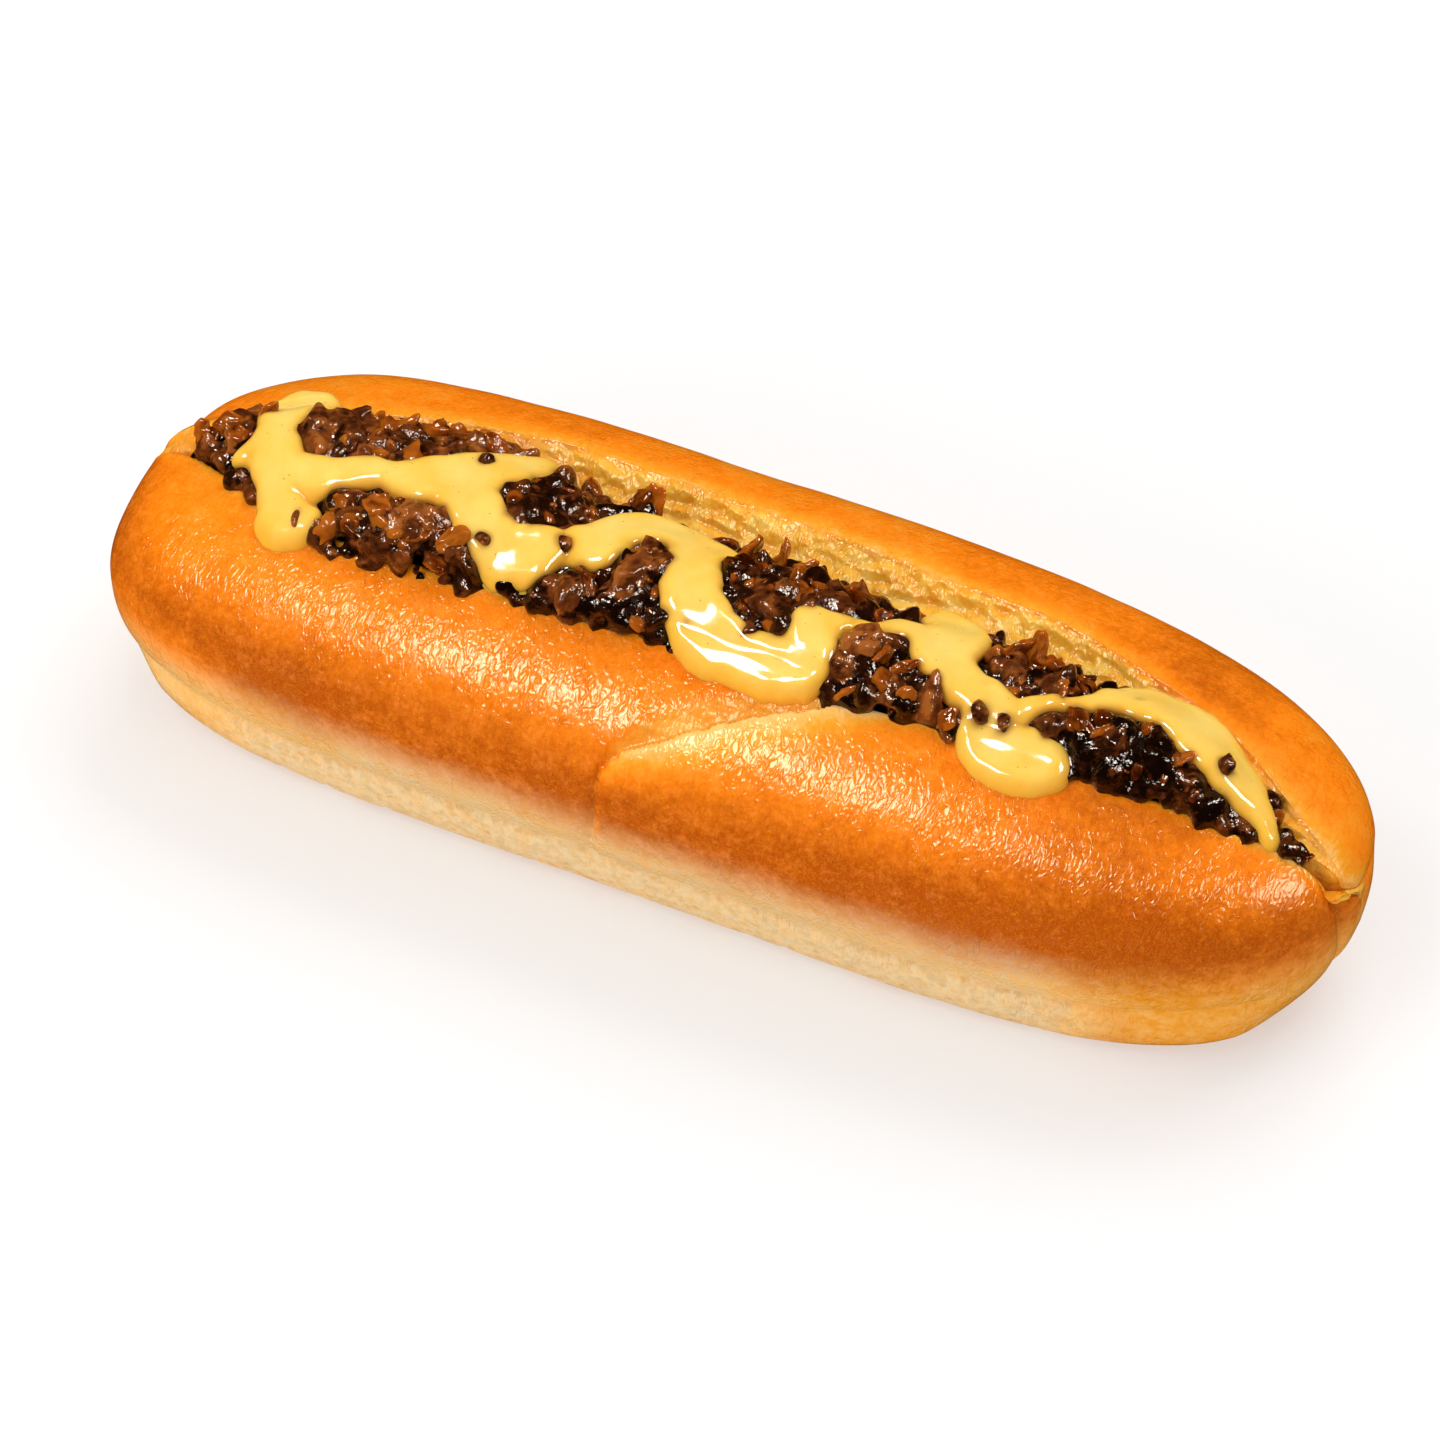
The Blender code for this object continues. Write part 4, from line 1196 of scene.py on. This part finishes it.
def make_sauce():
    """The ribbon of cheese sauce, laid over the heap and the near lip."""
    look = bpy.context.scene.sandwich
    (x0, x1), (y0, y1) = SAUCE_FIELD
    xs, ys = np.arange(x0, x1, SAUCE_STEP), np.arange(y0, y1, SAUCE_STEP)
    x, y = np.meshgrid(xs, ys, indexing="ij")
    inward = np.full(x.shape, -1.0)
    for cx, cy, wide in STROKE_POINTS:
        inward = np.maximum(inward, wide - np.hypot(x - cx, y - cy))
    plan = np.stack([x.ravel(), y.ravel(), 0 * x.ravel()], axis=1)
    waver = 0.55 * MM * field(plan, 6 * MM, 41, 2) + 0.12 * MM * field(plan, 2 * MM, 42)
    inward = blurred(inward, 2.5) + waver.reshape(x.shape)
    rim = look.sauce_rim
    last = -0.4 * rim
    slope = np.stack(np.gradient(inward, SAUCE_STEP))
    slope /= np.maximum(np.hypot(*slope), 0.4)
    held = np.clip(inward, last, rim)
    swing = held / rim * np.pi / 2
    shift = rim * (1 - np.cos(swing)) - np.minimum(inward, rim)
    px, py = x + slope[0] * shift, y + slope[1] * shift

    # The sauce hangs over the filling, which shows where it stands higher.
    wanted = inward > last - 2 * MM
    names = ("beef_mass", "beef_small", "onion_pieces", "onion_slivers")
    heap = ground_under(px, py, wanted, names)
    rest = rest_height(px, py)
    near, far = heap_limits(px)
    inside = smooth((py - near + MM) / (2.5 * MM)) * smooth((far - py + MM) / (2 * MM))
    ground = np.where(heap > rest - 5 * MM, np.maximum(heap, rest - 1.5 * MM), rest)
    ground = rest + (np.maximum(ground, rest - 1.5 * MM) - rest) * inside
    even = blurred(np.clip(ground, rest - 1.2 * MM, rest + 1.5 * MM), 6)
    deep = 1 + 0.22 * field(plan, 8 * MM, 43).reshape(x.shape) + 0.45 * (1 - inside)
    depth = look.sauce_depth * deep
    top = np.minimum(even + depth * np.sin(swing), SAUCE_TOP)
    thin = (1 - smooth((top - ground + 0.1 * MM) / (0.8 * MM))) * inside
    keep = inward > last - 1.3 * SAUCE_STEP

    bm = bmesh.new()
    bmesh.ops.create_grid(bm, x_segments=len(ys) - 1, y_segments=len(xs) - 1, size=1.0)
    bm.verts.ensure_lookup_table()
    for index, vert in enumerate(bm.verts):
        vert.co = (index, 0, 0)
    kept = keep.ravel()
    bmesh.ops.delete(bm, geom=[v for v in bm.verts if not kept[round(v.co.x)]], context="VERTS")
    under = bmesh.ops.extrude_face_region(bm, geom=bm.faces[:])["geom"]
    for vert in under:
        if isinstance(vert, bmesh.types.BMVert):
            vert.co.y = 1
    flat = [a.ravel() for a in (px, py, top, even, depth, blurred(thin, 1.2))]
    # How near the rounded edge each point is, for the painted shade of the sauce's rim.
    layer, rim_shade_layer = bm.verts.layers.float.new("thin"), bm.verts.layers.float.new("rim")
    painted_rim_shade = 1 - smooth(inward / (1.3 * rim)).ravel()
    for vert in bm.verts:
        i = round(vert.co.x)
        below = vert.co.y > 0.5
        height = flat[3][i] - 0.4 * flat[4][i] - 0.7 * MM if below else flat[2][i]
        vert.co = (flat[0][i], flat[1][i], height)
        vert[layer], vert[rim_shade_layer] = flat[5][i], painted_rim_shade[i]
    loose = [v for v in bm.verts if not v.link_faces]
    bmesh.ops.delete(bm, geom=loose, context="VERTS")
    bmesh.ops.recalc_face_normals(bm, faces=bm.faces)
    return finish_piece(link("cheese_ribbon", bm), sauce_material(), "cheese_sauce")


# ---- the stage

# Softboxes: name, direction to it, distance, its sides, its power in watts and what it gives.
SOFTBOXES = (
    ("main", (-0.36, -0.31, 0.88), 1.45, (0.5, 0.5), 2.8, "both"),
    ("overhead", (0.0, 0.0, 1.0), 2.2, (3.0, 3.0), 14.0, "spread"),
    ("back", (0.10, 0.60, 0.80), 2.0, (1.6, 1.2), 20.0, "spread"),
    ("front", (-0.35, -0.80, 0.40), 1.4, (0.9, 0.7), 8.0, "spread"),
    ("glint", (-0.28, -0.31, 0.90), 1.45, (0.60, 0.26), 22.0, "shine"),
    ("side", (0.72, -0.08, 0.68), 1.2, (0.4, 0.4), 13.0, "shine"),
)


def softbox(name, direction, distance, sides, power, gives):
    """A lamp that gives spread light, shine on glossy things, or both."""
    lamp = bpy.data.lights.new(name, "AREA")
    lamp.shape = "RECTANGLE"
    lamp.size, lamp.size_y = sides
    lamp.energy = power
    obj = bpy.data.objects.new(name, lamp)
    bpy.context.scene.collection.objects.link(obj)
    obj.location = Vector(direction).normalized() * distance
    obj.rotation_euler = Vector(direction).to_track_quat("Z", "Y").to_euler()
    obj.visible_glossy = gives != "spread"
    obj.visible_diffuse = gives != "shine"


def make_stage():
    """The floor, the lamps and the camera."""
    scene = bpy.context.scene
    bm = bmesh.new()
    bmesh.ops.create_grid(bm, x_segments=1, y_segments=1, size=4.0)
    floor = link("floor", bm)
    n = Nodes("Pale floor")
    n.set(base_color=(0.50, 0.50, 0.50), roughness=0.9, specular_ior_level=0.0)
    n.set(emission_color=(1.0, 1.0, 1.0), emission_strength=0.40)
    floor.data.materials.append(n.material)
    floor.visible_glossy = False
    world = bpy.data.worlds.new("Studio")
    scene.world = world
    world.use_nodes = True
    background = world.node_tree.nodes["Background"]
    background.inputs["Color"].default_value = (1, 1, 1, 1)
    background.inputs["Strength"].default_value = 0.5
    world.cycles_visibility.glossy = False
    for box in SOFTBOXES:
        softbox(*box)
    scene.view_settings.view_transform = "Standard"
    camera = bpy.data.objects.new("camera", bpy.data.cameras.new("camera"))
    scene.collection.objects.link(camera)
    aim, right = Vector(CAMERA_AIM).normalized(), Vector(CAMERA_RIGHT).normalized()
    up = right.cross(aim)
    turn = Matrix((right, up, -aim)).transposed().to_4x4()
    camera.matrix_world = Matrix.Translation(CAMERA_PLACE) @ turn
    camera.data.lens = CAMERA_LENS
    camera.data.clip_start = 0.01
    scene.camera = camera


# ---- the add-on

class MakePiece:
    """Runs one of the makers and raises an error if it adds no object"""

    bl_options = {"REGISTER", "UNDO"}

    def execute(self, context):
        before = len(bpy.data.objects)
        self.make()
        if len(bpy.data.objects) == before:
            raise RuntimeError(f"{self.bl_label} added nothing")
        return {"FINISHED"}


class SANDWICH_OT_roll(MakePiece, bpy.types.Operator):
    """Makes the baked roll with its slit and its torn split"""

    bl_idname = "sandwich.roll"
    bl_label = "Make roll"
    make = staticmethod(make_roll)


class SANDWICH_OT_filling(MakePiece, bpy.types.Operator):
    """Makes the heap of browned beef and onion slivers"""

    bl_idname = "sandwich.filling"
    bl_label = "Make filling"
    make = staticmethod(make_filling)


class SANDWICH_OT_sauce(MakePiece, bpy.types.Operator):
    """Pours the cheese sauce over the filling, which has to be there first"""

    bl_idname = "sandwich.sauce"
    bl_label = "Make sauce"
    make = staticmethod(make_sauce)


class SANDWICH_OT_stage(MakePiece, bpy.types.Operator):
    """Adds the floor, the lights and the camera"""

    bl_idname = "sandwich.stage"
    bl_label = "Make stage"
    make = staticmethod(make_stage)


class SANDWICH_PT_panel(bpy.types.Panel):
    """Settings and makers of the sandwich"""

    bl_idname = "SANDWICH_PT_panel"
    bl_label = "Sandwich"
    bl_space_type = "VIEW_3D"
    bl_region_type = "UI"
    bl_category = "Sandwich"

    def draw(self, context):
        for name in SandwichSettings.__annotations__:
            self.layout.prop(context.scene.sandwich, name)
        for operator in OPERATORS:
            self.layout.operator(operator.bl_idname)


OPERATORS = (SANDWICH_OT_roll, SANDWICH_OT_filling, SANDWICH_OT_sauce, SANDWICH_OT_stage)
CLASSES = (SandwichSettings, *OPERATORS, SANDWICH_PT_panel)


def register():
    for cls in CLASSES:
        bpy.utils.register_class(cls)
    bpy.types.Scene.sandwich = PointerProperty(type=SandwichSettings)


def unregister():
    del bpy.types.Scene.sandwich
    for cls in reversed(CLASSES):
        bpy.utils.unregister_class(cls)


def main():
    register()
    bpy.ops.sandwich.roll()
    bpy.ops.sandwich.filling()
    bpy.ops.sandwich.sauce()
    bpy.ops.sandwich.stage()


if __name__ == "__main__":
    main()
